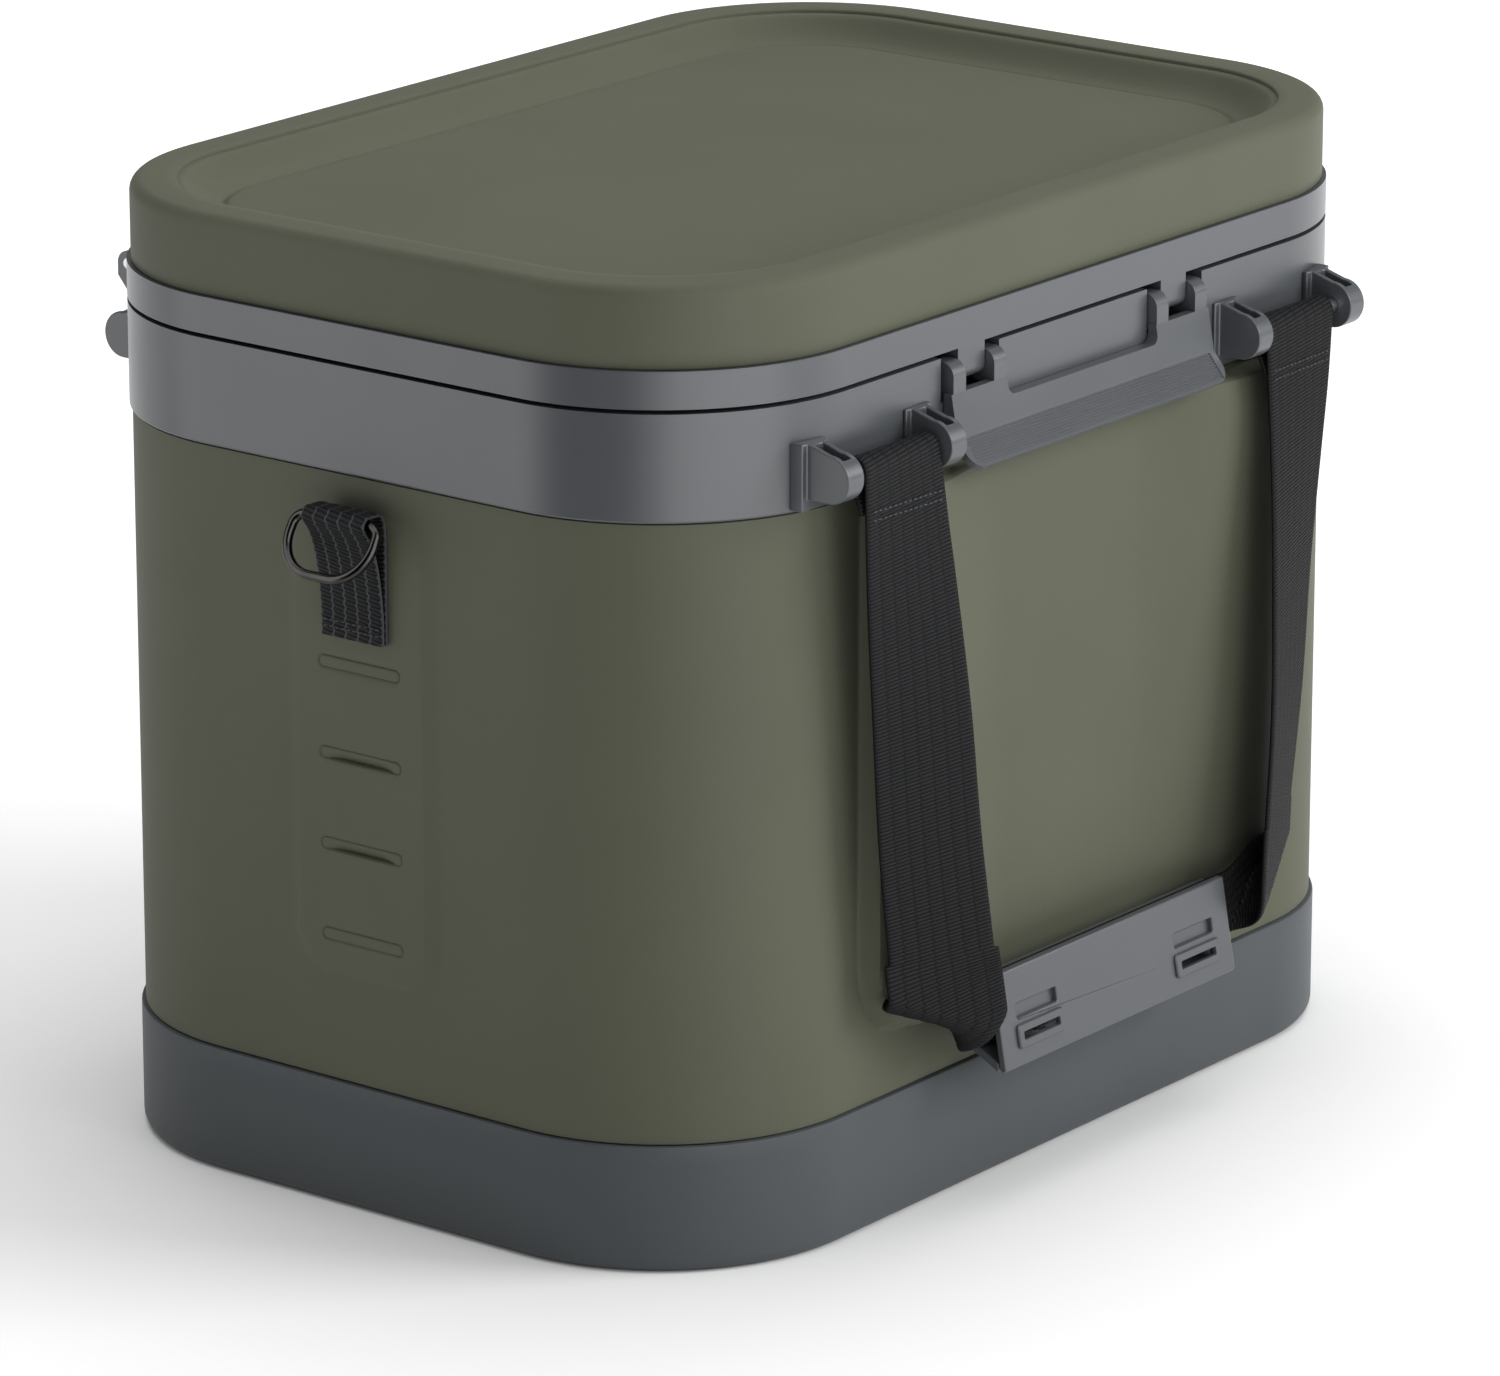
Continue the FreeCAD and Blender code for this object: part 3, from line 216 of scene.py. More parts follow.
@dataclass(frozen=True)
class WovenWebbing(Finish):
    """Nylon webbing: ribs of slanted picks in columns, with wavy binding threads between the columns. Its
    colours paint shade into the grooves between picks; on the binding lines they paint shade on the straps
    and a highlight on the tabs.

    The piece's UV map is in millimetres: across the webbing from one edge, and along it.
    """

    column: float = 38 / 7
    pick: float = 1.2
    # Colour laid on the binding lines in the grooves between columns: painted shade when darker than the
    # picks, as on the straps, and a painted highlight when lighter, as on the tabs.
    thread: str = "#070708"
    # Colour of the grooves between picks: painted shade.
    gap: str = "#040405"

    MIX_A: ClassVar[int] = 6
    MIX_B: ClassVar[int] = 7
    MIX_OUT: ClassVar[int] = 2

    def dress(self, tree: bpy.types.NodeTree, shader: bpy.types.Node) -> None:
        """Draw picks and binding threads from the distance across and along, with painted shade in the
        grooves between picks, and the thread colour on the binding lines as painted shade on the straps and a
        painted highlight on the tabs.
        """
        def maths(kind: str, *values: object) -> bpy.types.NodeSocket:
            """Output of a maths node on numbers or sockets."""
            return add(tree, "ShaderNodeMath", dict(enumerate(values)), operation=kind).outputs[0]

        place = add(tree, "ShaderNodeUVMap", uv_map="webbing").outputs["UV"]
        parts = add(tree, "ShaderNodeSeparateXYZ", {"Vector": place})
        across, along = parts.outputs["X"], parts.outputs["Y"]
        wave = maths("MULTIPLY", maths("SINE", maths("MULTIPLY", along, math.pi / self.pick)), 0.28)
        column = maths("DIVIDE", maths("ADD", across, wave), self.column)
        share = maths("FRACT", column)
        edge = maths("MULTIPLY", maths("ABSOLUTE", maths("SUBTRACT", share, 0.5)), 2.0)
        odd = maths("MULTIPLY", maths("MODULO", maths("FLOOR", column), 2.0), 0.5)
        lean = maths("MULTIPLY", share, 0.55)
        turns = maths("ADD", maths("ADD", maths("DIVIDE", along, self.pick), odd), lean)
        rib = maths("ABSOLUTE", maths("SINE", maths("MULTIPLY", turns, math.pi)))
        binding = add(tree, "ShaderNodeMapRange", {"Value": edge, "From Min": 0.78, "From Max": 0.93},
                      interpolation_type="SMOOTHSTEP").outputs["Result"]
        fibre = add(tree, "ShaderNodeTexNoise", {"Vector": place, "Scale": 1.3, "Detail": 2.0})
        # Painted shade: each rib runs from the dark gap colour in its grooves to the webbing colour on its
        # crest.
        picks = two_tone(tree, rib, (0.25, linear(self.gap)), (0.75, linear(self.colour)))
        # The binding lines take the thread colour: painted shade on the straps, a painted highlight on the
        # tabs.
        threads = add(tree, "ShaderNodeMix", {0: maths("MULTIPLY", binding, 0.8), self.MIX_A: picks,
                                              self.MIX_B: linear(self.thread)}, data_type="RGBA")
        tree.links.new(threads.outputs[self.MIX_OUT], shader.inputs["Base Color"])
        height = maths("ADD", maths("MAXIMUM", rib, binding), maths("MULTIPLY", fibre.outputs["Fac"], 0.25))
        bump = add(tree, "ShaderNodeBump", {"Height": height, "Distance": 0.3 * MM, "Strength": 1.0})
        tree.links.new(bump.outputs["Normal"], shader.inputs["Normal"])
        shader.inputs["Specular IOR Level"].default_value = 0.12


@dataclass(frozen=True)
class DarkSteel(Finish):
    """Steel wire, black-nickel plated: bright dark metal with drawn marks along the wire."""

    scratch: float = 0.5 * MM

    def dress(self, tree: bpy.types.NodeTree, shader: bpy.types.Node) -> None:
        """Metal with fine uneven polish."""
        shader.inputs["Metallic"].default_value = 1.0
        tree.links.new(self.mottled(tree, 0.004, 0.12), shader.inputs["Base Color"])
        tree.links.new(self.grained(tree, self.scratch, 0.01 * MM, 0.3), shader.inputs["Normal"])


@dataclass(frozen=True)
class ClosedCellFoam(Finish):
    """Polyethylene foam: matte, with fine skinned-over cells about a millimetre across."""

    cell: float = 1.2 * MM

    def dress(self, tree: bpy.types.NodeTree, shader: bpy.types.Node) -> None:
        """Cells as a bump, with patches."""
        place = add(tree, "ShaderNodeTexCoord").outputs["Object"]
        cells = add(tree, "ShaderNodeTexVoronoi", {"Vector": place, "Scale": 1 / self.cell})
        bump = add(tree, "ShaderNodeBump", {"Height": cells.outputs["Distance"], "Distance": 0.2 * MM,
                                            "Strength": 0.5})
        tree.links.new(bump.outputs["Normal"], shader.inputs["Normal"])
        tree.links.new(self.mottled(tree, 0.03, 0.05), shader.inputs["Base Color"])


@dataclass(frozen=True)
class SoftRubber(Finish):
    """Silicone or TPE, moulded smooth: dull, slightly waxy."""

    def dress(self, tree: bpy.types.NodeTree, shader: bpy.types.Node) -> None:
        """Even dull colour with faint patches."""
        tree.links.new(self.mottled(tree, 0.02, 0.06), shader.inputs["Base Color"])
        tree.links.new(self.grained(tree, 0.8 * MM, 0.03 * MM, 0.4), shader.inputs["Normal"])


# Olive skin of body and lid: TPU-coated nylon, matte.
OLIVE_SKIN = CoatedFabric("coated_nylon_olive", "#595b4c", 0.6)
# Boot: the same coated cloth in slate grey, moulded to shape, a little smoother.
GREY_BOOT = CoatedFabric("moulded_boot_slate", "#505457", 0.5, 0.7 * MM)
# Frames, brackets and grip: glass-filled nylon in blue-grey.
GREY_NYLON = MouldedPlastic("moulded_nylon_grey", "#4f5256", 0.3)
# Straps and ring tabs: black nylon webbing, 38 mm and 25 mm wide, with painted shade between the picks; the
# straps' dark thread colour paints shade between the columns, and the tabs' light one paints a highlight
# there.
STRAP_WEBBING = WovenWebbing("woven_webbing_38", "#1c1d1f", 0.6)
TAB_WEBBING = WovenWebbing("woven_webbing_25", "#232426", 0.6, column=5.0, pick=1.4, thread="#4a4c4f")
THREAD = SoftRubber("bonded_nylon_thread_black", "#242528", 0.55)
# D-rings: black-nickel plated steel wire.
RING_STEEL = DarkSteel("black_nickel_wire", "#3d3c3b", 0.2)
# Pins and screws: plain bright steel.
PIN_STEEL = DarkSteel("ground_steel_pin", "#a9abad", 0.3)
# Liner: welded TPU sheet, pale grey, wipe-clean.
LINER_SHEET = CoatedFabric("welded_liner_sheet", "#b9bdbf", 0.42, 1.6 * MM)
SEAL = SoftRubber("moulded_seal_rubber", "#1c1d1e", 0.6)
FOAM = ClosedCellFoam("closed_cell_foam", "#d9d8d2", 0.85)
BOARD = ClosedCellFoam("pressed_board", "#3a3b3c", 0.8, 2.5 * MM)


class Slot(Enum):
    """The record's material slots."""

    OLIVE = "olive_coated_fabric"
    BOOT = "grey_coated_fabric"
    MOULDING = "grey_moulding"
    WEBBING = "black_webbing"
    RING = "dark_steel"
    PIN = "pin_steel"
    FOAM = "foam"
    LINER = "liner_sheet"
    SEAL = "seal_rubber"
    BOARD = "hidden_board"


# ---------------------------------------------------------------- mesh helpers

def grid_faces(rows: int, columns: int, wrap_rows: bool, wrap_columns: bool) -> list[tuple[int, ...]]:
    """Quads of a grid of points stored row by row.

    Args:
        rows: Number of rows.
        columns: Number of points in a row.
        wrap_rows: Whether the last row joins the first.
        wrap_columns: Whether each row is a closed loop.
    Returns:
        Faces as tuples of indices.
    """
    faces = []
    for r in range(rows if wrap_rows else rows - 1):
        below = ((r + 1) % rows) * columns
        for c in range(columns if wrap_columns else columns - 1):
            n = (c + 1) % columns
            faces.append((r * columns + c, r * columns + n, below + n, below + c))
    return faces


def enclosed(points: Array, faces: Sequence[tuple[int, ...]]) -> float:
    """Signed volume inside a closed mesh; positive when its faces point outwards."""
    total = 0.0
    for size in (3, 4):
        part = np.array([f for f in faces if len(f) == size])
        if len(part):
            for k in range(1, size - 1):
                a, b, c = points[part[:, 0]], points[part[:, k]], points[part[:, k + 1]]
                total += float(np.einsum("ij,ij->i", a, np.cross(b, c)).sum()) / 6
    return total


def make_piece(name: str, points: Array, faces: Sequence[tuple[int, ...]], finish: Finish,
               sharp: float = 40.0, uv: Array | None = None) -> bpy.types.Object:
    """Make a closed mesh object whose faces point outwards.

    Args:
        name: Piece name.
        points: Vertex places in metres, one row each.
        faces: Quads and triangles.
        finish: Surface finish.
        sharp: Edges steeper than this many degrees stay sharp.
        uv: Optional UV of each vertex.
    Returns:
        The linked object.
    """
    if enclosed(points, faces) < 0:
        faces = [tuple(reversed(f)) for f in faces]
    mesh = bpy.data.meshes.new(name)
    mesh.from_pydata(points.tolist(), [], faces)
    if uv is not None:
        layer = mesh.uv_layers.new(name="webbing")
        loops = np.empty(len(mesh.loops), int)
        mesh.loops.foreach_get("vertex_index", loops)
        layer.data.foreach_set("uv", uv[loops].ravel())
    mesh.shade_smooth()
    mesh.set_sharp_from_angle(angle=math.radians(sharp))
    mesh.materials.append(finish.material())
    piece = bpy.data.objects.new(name, mesh)
    bpy.context.scene.collection.objects.link(piece)
    return piece


def settle(piece: bpy.types.Object, body: str, slot: Slot, *stands_for: str) -> bpy.types.Object:
    """Give a piece its body and hide the nodes it stands for.

    Args:
        piece: Finished object.
        body: Body it rides on.
        slot: The record's material slot; not used.
        *stands_for: CAD nodes that it replaces.
    Returns:
        The piece.
    """
    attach(piece, body)
    if stands_for:
        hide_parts(*stands_for)
    log.info("%s rides on %s, %d faces", piece.name, body, len(piece.data.polygons))
    return piece


def finished(piece: bpy.types.Object) -> bpy.types.Object:
    """Bake a piece's modifiers into its mesh and take them off.

    Args:
        piece: Linked object with modifiers.
    Returns:
        The piece.
    """
    ready = piece.evaluated_get(bpy.context.evaluated_depsgraph_get())
    final = bpy.data.meshes.new_from_object(ready)
    piece.modifiers.clear()
    piece.data = final
    final.name = piece.name
    return piece


def softened(name: str, node: str, finish: Finish, edge: float, segments: int = 2,
             crisp: Callable[[Vector], bool] | None = None) -> bpy.types.Object:
    """Copy a moulded node with its edges broken by a small round.

    Args:
        name: Name of the new piece.
        node: CAD node that is copied.
        finish: Surface finish.
        edge: Width of the round in metres.
        segments: Steps in the round.
        crisp: Test for places whose edges stay as they are.
    Returns:
        The linked copy, its round applied.
    """
    work = bmesh.new()
    work.from_mesh(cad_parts[node].data)
    bmesh.ops.remove_doubles(work, verts=work.verts, dist=2e-6)
    bmesh.ops.dissolve_limit(work, angle_limit=math.radians(0.3), verts=work.verts, edges=work.edges)
    weight = work.edges.layers.float.new("bevel_weight_edge")
    for line in work.edges:
        steep = len(line.link_faces) == 2 and line.calc_face_angle(0) > math.radians(30)
        line.smooth = not steep
        middle = (line.verts[0].co + line.verts[1].co) / 2
        line[weight] = 1.0 if steep and not (crisp and crisp(middle)) else 0.0
    for face in work.faces:
        face.smooth = True
    mesh = bpy.data.meshes.new(name)
    work.to_mesh(mesh)
    work.free()
    piece = bpy.data.objects.new(name, mesh)
    bpy.context.scene.collection.objects.link(piece)
    bevel = piece.modifiers.new("edges", "BEVEL")
    bevel.width = edge
    bevel.segments = segments
    bevel.limit_method = "WEIGHT"
    bevel.use_clamp_overlap = True
    bevel.harden_normals = True
    bevel.miter_outer = "MITER_ARC"
    even_out = piece.modifiers.new("flat_faces", "WEIGHTED_NORMAL")
    even_out.mode = "FACE_AREA"
    even_out.weight = 80
    even_out.keep_sharp = True
    finished(piece)
    piece.data.materials.clear()
    piece.data.materials.append(finish.material())
    return piece


# ---------------------------------------------------------------- repeats

@dataclass(frozen=True)
class Repeats:
    """One small shape set at many places by a node group, then made real.

    Attributes:
        name: Name of the finished piece.
        shape: Mesh object that is repeated; its +Z faces out and its +X lies along the row.
        finish: Surface finish.
        turn_spread: Widest turn about +Z, in radians either way.
        size_spread: Share by which a repeat grows or shrinks at most.
        seed: Seed of the random draws.
    """

    name: str
    shape: bpy.types.Object
    finish: Finish
    turn_spread: float = 0.0
    size_spread: float = 0.0
    seed: int = 11

    INPUTS: ClassVar[tuple[tuple[str, str], ...]] = (
        ("Places", "NodeSocketGeometry"), ("Shape", "NodeSocketObject"), ("Turn spread", "NodeSocketFloat"),
        ("Size spread", "NodeSocketFloat"), ("Seed", "NodeSocketInt"), ("Finish", "NodeSocketMaterial"))

    def group(self) -> bpy.types.NodeTree:
        """Build the node group: aim each repeat, vary it, make it real and give it its material."""
        tree = bpy.data.node_groups.new(self.name, "GeometryNodeTree")
        for label, kind in self.INPUTS:
            tree.interface.new_socket(label, in_out="INPUT", socket_type=kind)
        tree.interface.new_socket("Repeats", in_out="OUTPUT", socket_type="NodeSocketGeometry")
        given = add(tree, "NodeGroupInput").outputs
        facing = add(tree, "GeometryNodeInputNamedAttribute", {"Name": "facing"}, data_type="FLOAT_VECTOR")
        along = add(tree, "GeometryNodeInputNamedAttribute", {"Name": "along"}, data_type="FLOAT_VECTOR")
        aimed = add(tree, "FunctionNodeAlignRotationToVector", {"Vector": facing.outputs["Attribute"]},
                    axis="Z")
        laid = add(tree, "FunctionNodeAlignRotationToVector",
                   {"Rotation": aimed.outputs["Rotation"], "Vector": along.outputs["Attribute"]},
                   axis="X", pivot_axis="Z")
        low = add(tree, "ShaderNodeMath", {0: given["Turn spread"], 1: -1.0}, operation="MULTIPLY")
        turn = add(tree, "FunctionNodeRandomValue",
                   {"Min": low.outputs[0], "Max": given["Turn spread"], "Seed": given["Seed"]},
                   data_type="FLOAT")
        about = add(tree, "ShaderNodeCombineXYZ", {"Z": turn.outputs["Value"]})
        turned = add(tree, "FunctionNodeRotateRotation",
                     {"Rotation": laid.outputs["Rotation"], "Rotate By": about.outputs[0]},
                     rotation_space="LOCAL")
        least = add(tree, "ShaderNodeMath", {0: 1.0, 1: given["Size spread"]}, operation="SUBTRACT")
        most = add(tree, "ShaderNodeMath", {0: 1.0, 1: given["Size spread"]}, operation="ADD")
        size = add(tree, "FunctionNodeRandomValue",
                   {"Min": least.outputs[0], "Max": most.outputs[0], "Seed": given["Seed"]},
                   data_type="FLOAT")
        source = add(tree, "GeometryNodeObjectInfo", {"Object": given["Shape"]})
        spread = add(tree, "GeometryNodeInstanceOnPoints",
                     {"Points": given["Places"], "Instance": source.outputs["Geometry"],
                      "Rotation": turned.outputs["Rotation"], "Scale": size.outputs["Value"]})
        real = add(tree, "GeometryNodeRealizeInstances", {"Geometry": spread.outputs["Instances"]})
        dressed = add(tree, "GeometryNodeSetMaterial",
                      {"Geometry": real.outputs["Geometry"], "Material": given["Finish"]})
        add(tree, "NodeGroupOutput", {"Repeats": dressed.outputs["Geometry"]})
        return tree

    def build(self, places: Array, facing: Array, along: Array) -> bpy.types.Object:
        """Set the shape at every place.

        Args:
            places: Places in metres, one row each.
            facing: The way +Z goes at each place.
            along: The way +X goes at each place.
        Returns:
            The linked piece.
        """
        mesh = bpy.data.meshes.new(self.name + "_places")
        mesh.from_pydata(places.tolist(), [], [])
        for label, rows in (("facing", facing), ("along", along)):
            layer = mesh.attributes.new(label, "FLOAT_VECTOR", "POINT")
            layer.data.foreach_set("vector", np.asarray(rows, np.float32).ravel())
        piece = bpy.data.objects.new(self.name, mesh)
        bpy.context.scene.collection.objects.link(piece)
        tree = self.group()
        sockets = {item.name: item.identifier for item in tree.interface.items_tree if item.in_out == "INPUT"}
        nodes = piece.modifiers.new("repeats", "NODES")
        nodes.node_group = tree
        for label, given in (("Shape", self.shape), ("Turn spread", self.turn_spread),
                             ("Size spread", self.size_spread), ("Seed", self.seed),
                             ("Finish", self.finish.material())):
            nodes[sockets[label]] = given
        return finished(piece)


def turned_shape(name: str, rings: Sequence[tuple[float, float, int]], steps: int = 24) -> bpy.types.Object:
    """Closed shape turned about +Z, kept out of the scene for repeating.

    Args:
        name: Name of the shape.
        rings: Radius and height of each ring in millimetres, and its number of flats (0 for round).
        steps: Points in a ring.
    Returns:
        The object, linked to no collection.
    """
    turns = np.arange(steps) * 2 * math.pi / steps
    loops = []
    for radius, height, flats in rings:
        reach = np.full(steps, radius)
        if flats:
            half = math.pi / flats
            reach = radius * math.cos(half) / np.cos((turns + half) % (2 * half) - half)
        loops.append(np.column_stack([reach * np.cos(turns), reach * np.sin(turns), np.full(steps, height)]))
    points = np.concatenate(loops) * MM
    faces = grid_faces(len(rings), steps, False, True)
    faces += [tuple(range(steps)), tuple(range(len(points) - 1, len(points) - 1 - steps, -1))]
    shape = make_piece(name, points, fan_capped(faces), PIN_STEEL, 30)
    bpy.context.scene.collection.objects.unlink(shape)
    return shape


def fan_capped(faces: Sequence[tuple[int, ...]]) -> list[tuple[int, ...]]:
    """Cut every face of more than four corners into triangles."""
    out = []
    for face in faces:
        if len(face) <= 4:
            out.append(face)
        else:
            out += [(face[0], face[k], face[k + 1]) for k in range(1, len(face) - 1)]
    return out


# ---------------------------------------------------------------- plan outline and pieces that ring it

@dataclass(frozen=True)
class PlanOutline:
    """The chest's plan: a rectangle with large round corners, as stations with outward normals."""

    length: float = 385 * MM
    depth: float = 270 * MM
    corner: float = 71.6 * MM

    def stations(self, long_lines: Sequence[float], end_lines: Sequence[float],
                 steps: int = 26) -> tuple[Array, Array]:
        """Places round the outline, anticlockwise from above.

        Args:
            long_lines: X of the stations on the long faces, in metres.
            end_lines: Y of the stations on the end faces, in metres.
            steps: Divisions of each corner.
        Returns:
            Places and outward normals, each an (n, 2) array.
        """
        half_x = self.length / 2 - self.corner
        half_y = self.depth / 2 - self.corner
        xs = sorted({round(x, 7) for x in [*long_lines, -half_x, half_x] if abs(x) <= half_x + 1e-9})
        ys = sorted({round(y, 7) for y in [*end_lines, -half_y, half_y] if abs(y) <= half_y + 1e-9})
        places, normals = [], []
        runs = [([(x, -self.depth / 2) for x in xs], (0, -1), (half_x, -half_y), -90),
                ([(self.length / 2, y) for y in ys], (1, 0), (half_x, half_y), 0),
                ([(x, self.depth / 2) for x in xs[::-1]], (0, 1), (-half_x, half_y), 90),
                ([(-self.length / 2, y) for y in ys[::-1]], (-1, 0), (-half_x, -half_y), 180)]
        for line, normal, centre, turn in runs:
            places += line
            normals += [normal] * len(line)
            for k in range(1, steps):
                angle = math.radians(turn + 90 * k / steps)
                out = (math.cos(angle), math.sin(angle))
                places.append((centre[0] + self.corner * out[0], centre[1] + self.corner * out[1]))
                normals.append(out)
        return np.array(places), np.array(normals)


OUTLINE = PlanOutline()


def arc(centre: tuple[float, float], radius: float, angles: Iterable[float]) -> list[tuple[float, float]]:
    """Points on a circle, at angles in degrees from the first axis towards the second."""
    return [(centre[0] + radius * math.cos(math.radians(a)), centre[1] + radius * math.sin(math.radians(a)))
            for a in angles]


def even(low: float, high: float, step: float) -> list[float]:
    """Even steps from low to high, both ends included."""
    count = max(1, round((high - low) / step))
    return [low + (high - low) * k / count for k in range(count + 1)]


def ring_piece(name: str, profile: Sequence[tuple[float, float]], finish: Finish,
               crown: Sequence[tuple[float, float]] = (), floor: Sequence[tuple[float, float]] = (),
               sharp: float = 40.0) -> bpy.types.Object:
    """Sweep a profile round the plan outline; without a crown or floor, its end joins its start.

    Args:
        name: Piece name.
        profile: (inset, height) pairs in millimetres.
        finish: Surface finish.
        crown: (share of the last ring's size, height) pairs that close the end at the middle.
        floor: The same for the start of the profile.
        sharp: Edges steeper than this many degrees stay sharp.
    Returns:
        The linked object.
    """
    lines_x = even(-0.1209, 0.1209, 0.006)
    lines_y = even(-0.0634, 0.0634, 0.006)
    places, normals = OUTLINE.stations(lines_x, lines_y)
    rows = []

    def ring(inset: float, height: float, share: float = 1.0) -> Array:
        """One loop of points at an inset and height, shrunk towards the middle by share."""
        flat = (places - normals * inset * MM) * share
        return np.column_stack([flat, np.full(len(flat), height * MM)])

    for share, height in reversed(floor):
        rows.append(ring(profile[0][0], height, share))
    rows += [ring(inset, height) for inset, height in profile]
    rows += [ring(profile[-1][0], height, share) for share, height in crown]
    count = len(places)
    faces = grid_faces(len(rows), count, not (crown or floor), True)
    points = np.concatenate(rows)
    for ends, base in ((floor, 0), (crown, (len(rows) - 1) * count)):
        if ends:
            pole = len(points)
            points = np.vstack([points, [0, 0, ends[-1][1] * MM]])
            loop = [(pole, base + (k + 1) % count, base + k) for k in range(count)]
            faces += loop if base == 0 else [tuple(reversed(f)) for f in loop]
    return make_piece(name, points, faces, finish, sharp)


# ---------------------------------------------------------------- body skin

@dataclass
class BodySkin:
    """Coated-fabric skin of the body, with its dished pads and slotted end panels in one surface."""

    low: float = 42.0
    high: float = 243.8
    inset: float = 1.0
    tuck: float = 3.9
    wall: float = 0.8
    pad_half: float = 112.5
    pad_low: float = 62.0
    pad_high: float = 243.5
    pad_round: float = 28.0
    pad_top_round: float = 8.0
    pad_rise: float = 9.3
    pad_lip: float = 5.6
    dish_floor: float = 34.0
    dish_crest: float = 90.0
    dish_depth: float = 8.0
    panel_half: float = 30.0
    panel_low: float = 77.0
    panel_high: float = 232.0
    panel_round: float = 15.0
    panel_rise: float = 2.1
    slot_half: float = 16.5
    slot_tall: float = 4.0
    slot_heights: tuple[float, ...] = (91.7, 121.8, 151.9, 182.0)
    slot_open: tuple[bool, ...] = (False, True, True, False)

    @staticmethod
    def inside(across: Array, up: Array, half: float, low: float, high: float, radius: float,
               top_radius: float | None = None) -> Array:
        """Distance inside a rounded rectangle, whose top corners may differ; negative outside it."""
        mid, tall = (low + high) / 2, (high - low) / 2
        radius = np.where(up > mid, radius if top_radius is None else top_radius, radius)
        qx = np.abs(across) - (half - radius)
        qz = np.abs(up - mid) - (tall - radius)
        outer = np.hypot(np.maximum(qx, 0), np.maximum(qz, 0)) + np.minimum(np.maximum(qx, qz), 0)
        return radius - outer

    def pad(self, across: Array, up: Array) -> Array:
        """How far the long face's pad stands proud, in millimetres."""
        deep = self.inside(across, up, self.pad_half, self.pad_low, self.pad_high, self.pad_round,
                           self.pad_top_round)
        lip = self.pad_lip * smooth(deep, 0, 3.2)
        round_over = np.sqrt(np.clip(1 - (1 - np.clip((deep - 1) / 24, 0, 1)) ** 2, 0, 1))
        shape = lip + (self.pad_rise - self.pad_lip) * round_over * smooth(deep, 0, 3.2)
        dish = self.dish_depth * (1 - smooth(np.abs(across), self.dish_floor, self.dish_crest))
        gap = shape - dish
        return np.where(deep > 0, 0.5 * (gap + np.sqrt(gap * gap + 0.6)) * smooth(deep, 0, 3.2), 0)

    def panel(self, across: Array, up: Array) -> Array:
        """How far the end panel stands proud, less its slots, in millimetres."""
        deep = self.inside(across, up, self.panel_half, self.panel_low, self.panel_high, self.panel_round)
        rise = self.panel_rise * smooth(deep, -0.5, 5)
        for centre, opened in zip(self.slot_heights, self.slot_open):
            half = self.slot_tall / 2
            edge = self.inside(across, up, self.slot_half, centre - half, centre + half, half - 0.1)
            rise = rise - 0.55 * np.exp(-(edge / 0.33) ** 2)
            if opened:
                lean = smooth(centre - up, -half, half) * smooth(self.slot_half - np.abs(across), 0, 9)
                rise = rise - 1.9 * lean * smooth(edge, -0.1, 0.25)
        return rise

    def lines(self) -> tuple[list[float], list[float], list[float]]:
        """Grid lines in millimetres: X on long faces, Y on end faces, and heights."""
        fine = [-2.7, -2.25, -1.95, -1.7, -1.45, -1.1, -0.6, 0, 0.6, 1.1, 1.45, 1.7, 1.95, 2.25, 2.7]
        xs = even(-120.9, 120.9, 3.2)
        for side in (-1, 1):
            xs += [side * (self.pad_half - d) for d in (-0.4, 0.3, 0.9, 1.6, 2.4, 3.2, 4.5)]
        ys = even(-63.4, 63.4, 3.2)
        for side in (-1, 1):
            ys += [side * (self.slot_half + d)
                   for d in (-2.4, -2, -1.6, -1.2, -0.8, -0.4, -0.15, 0.15, 0.5, 0.9)]
            ys += [side * (self.panel_half - d) for d in (0, 1.5, 2.5, 3.5, 4.7)]
        zs = even(self.low + 0.6, self.high - 0.6, 3.3)
        for centre in self.slot_heights:
            zs += [centre + d for d in fine]
        for bottom, top in ((self.pad_low, self.pad_high), (self.panel_low, self.panel_high)):
            for d in (0, 0.8, 1.6, 2.4, 3.4):
                zs += [bottom + d, top - d]
        zs = [z for z in zs if z < self.high - 0.3]
        return sorted(set(xs)), sorted(set(ys)), self.thinned(zs)

    @staticmethod
    def thinned(values: Iterable[float]) -> list[float]:
        """Sorted values with those that all but coincide left out."""
        kept: list[float] = []
        for value in sorted(values):
            if not kept or value - kept[-1] > 0.12:
                kept.append(value)
        return kept

    def build(self) -> None:
        """Make the skin: outer face with its relief, tucked edges and an inner face."""
        xs, ys, zs = self.lines()
        places, normals = OUTLINE.stations([x * MM for x in xs], [y * MM for y in ys])
        across_long, across_end = places[:, 0] / MM, places[:, 1] / MM
        on_long = np.abs(normals[:, 1]) > 0.999
        on_end = np.abs(normals[:, 0]) > 0.999
        rows = []

        def ring(inset: Array | float, height: float) -> None:
            """Add one loop of points."""
            flat = places - normals * (np.asarray(inset) * MM * np.ones(len(places)))[:, None]
            rows.append(np.column_stack([flat, np.full(len(flat), height * MM)]))

        ring(self.tuck, self.low - 6)
        ring(self.tuck, self.low - 0.3)
        ring(self.inset + 1.2, self.low + 0.1)
        for z in zs:
            up = np.full(len(places), z)
            rise = np.where(on_long, self.pad(across_long, up), 0.0)
            rise = rise + np.where(on_end, self.panel(across_end, up), 0.0)
            ring(self.inset - rise, z)
        ring(self.inset + 1.2, self.high - 0.1)
        ring(self.tuck, self.high + 0.3)
        ring(self.tuck, self.high + 8)
        ring(self.tuck + self.wall, self.high + 8)
        ring(self.tuck + self.wall, self.low - 6)
        points = np.concatenate(rows)
        faces = grid_faces(len(rows), len(places), True, True)
        piece = make_piece("body_skin", points, faces, OLIVE_SKIN, 50)
        settle(piece, "tub", Slot.OLIVE, "outer_shell", "front_pad", "rear_pad",
               "left_slot_panel", "right_slot_panel")


# ---------------------------------------------------------------- boot, liner, lid skin

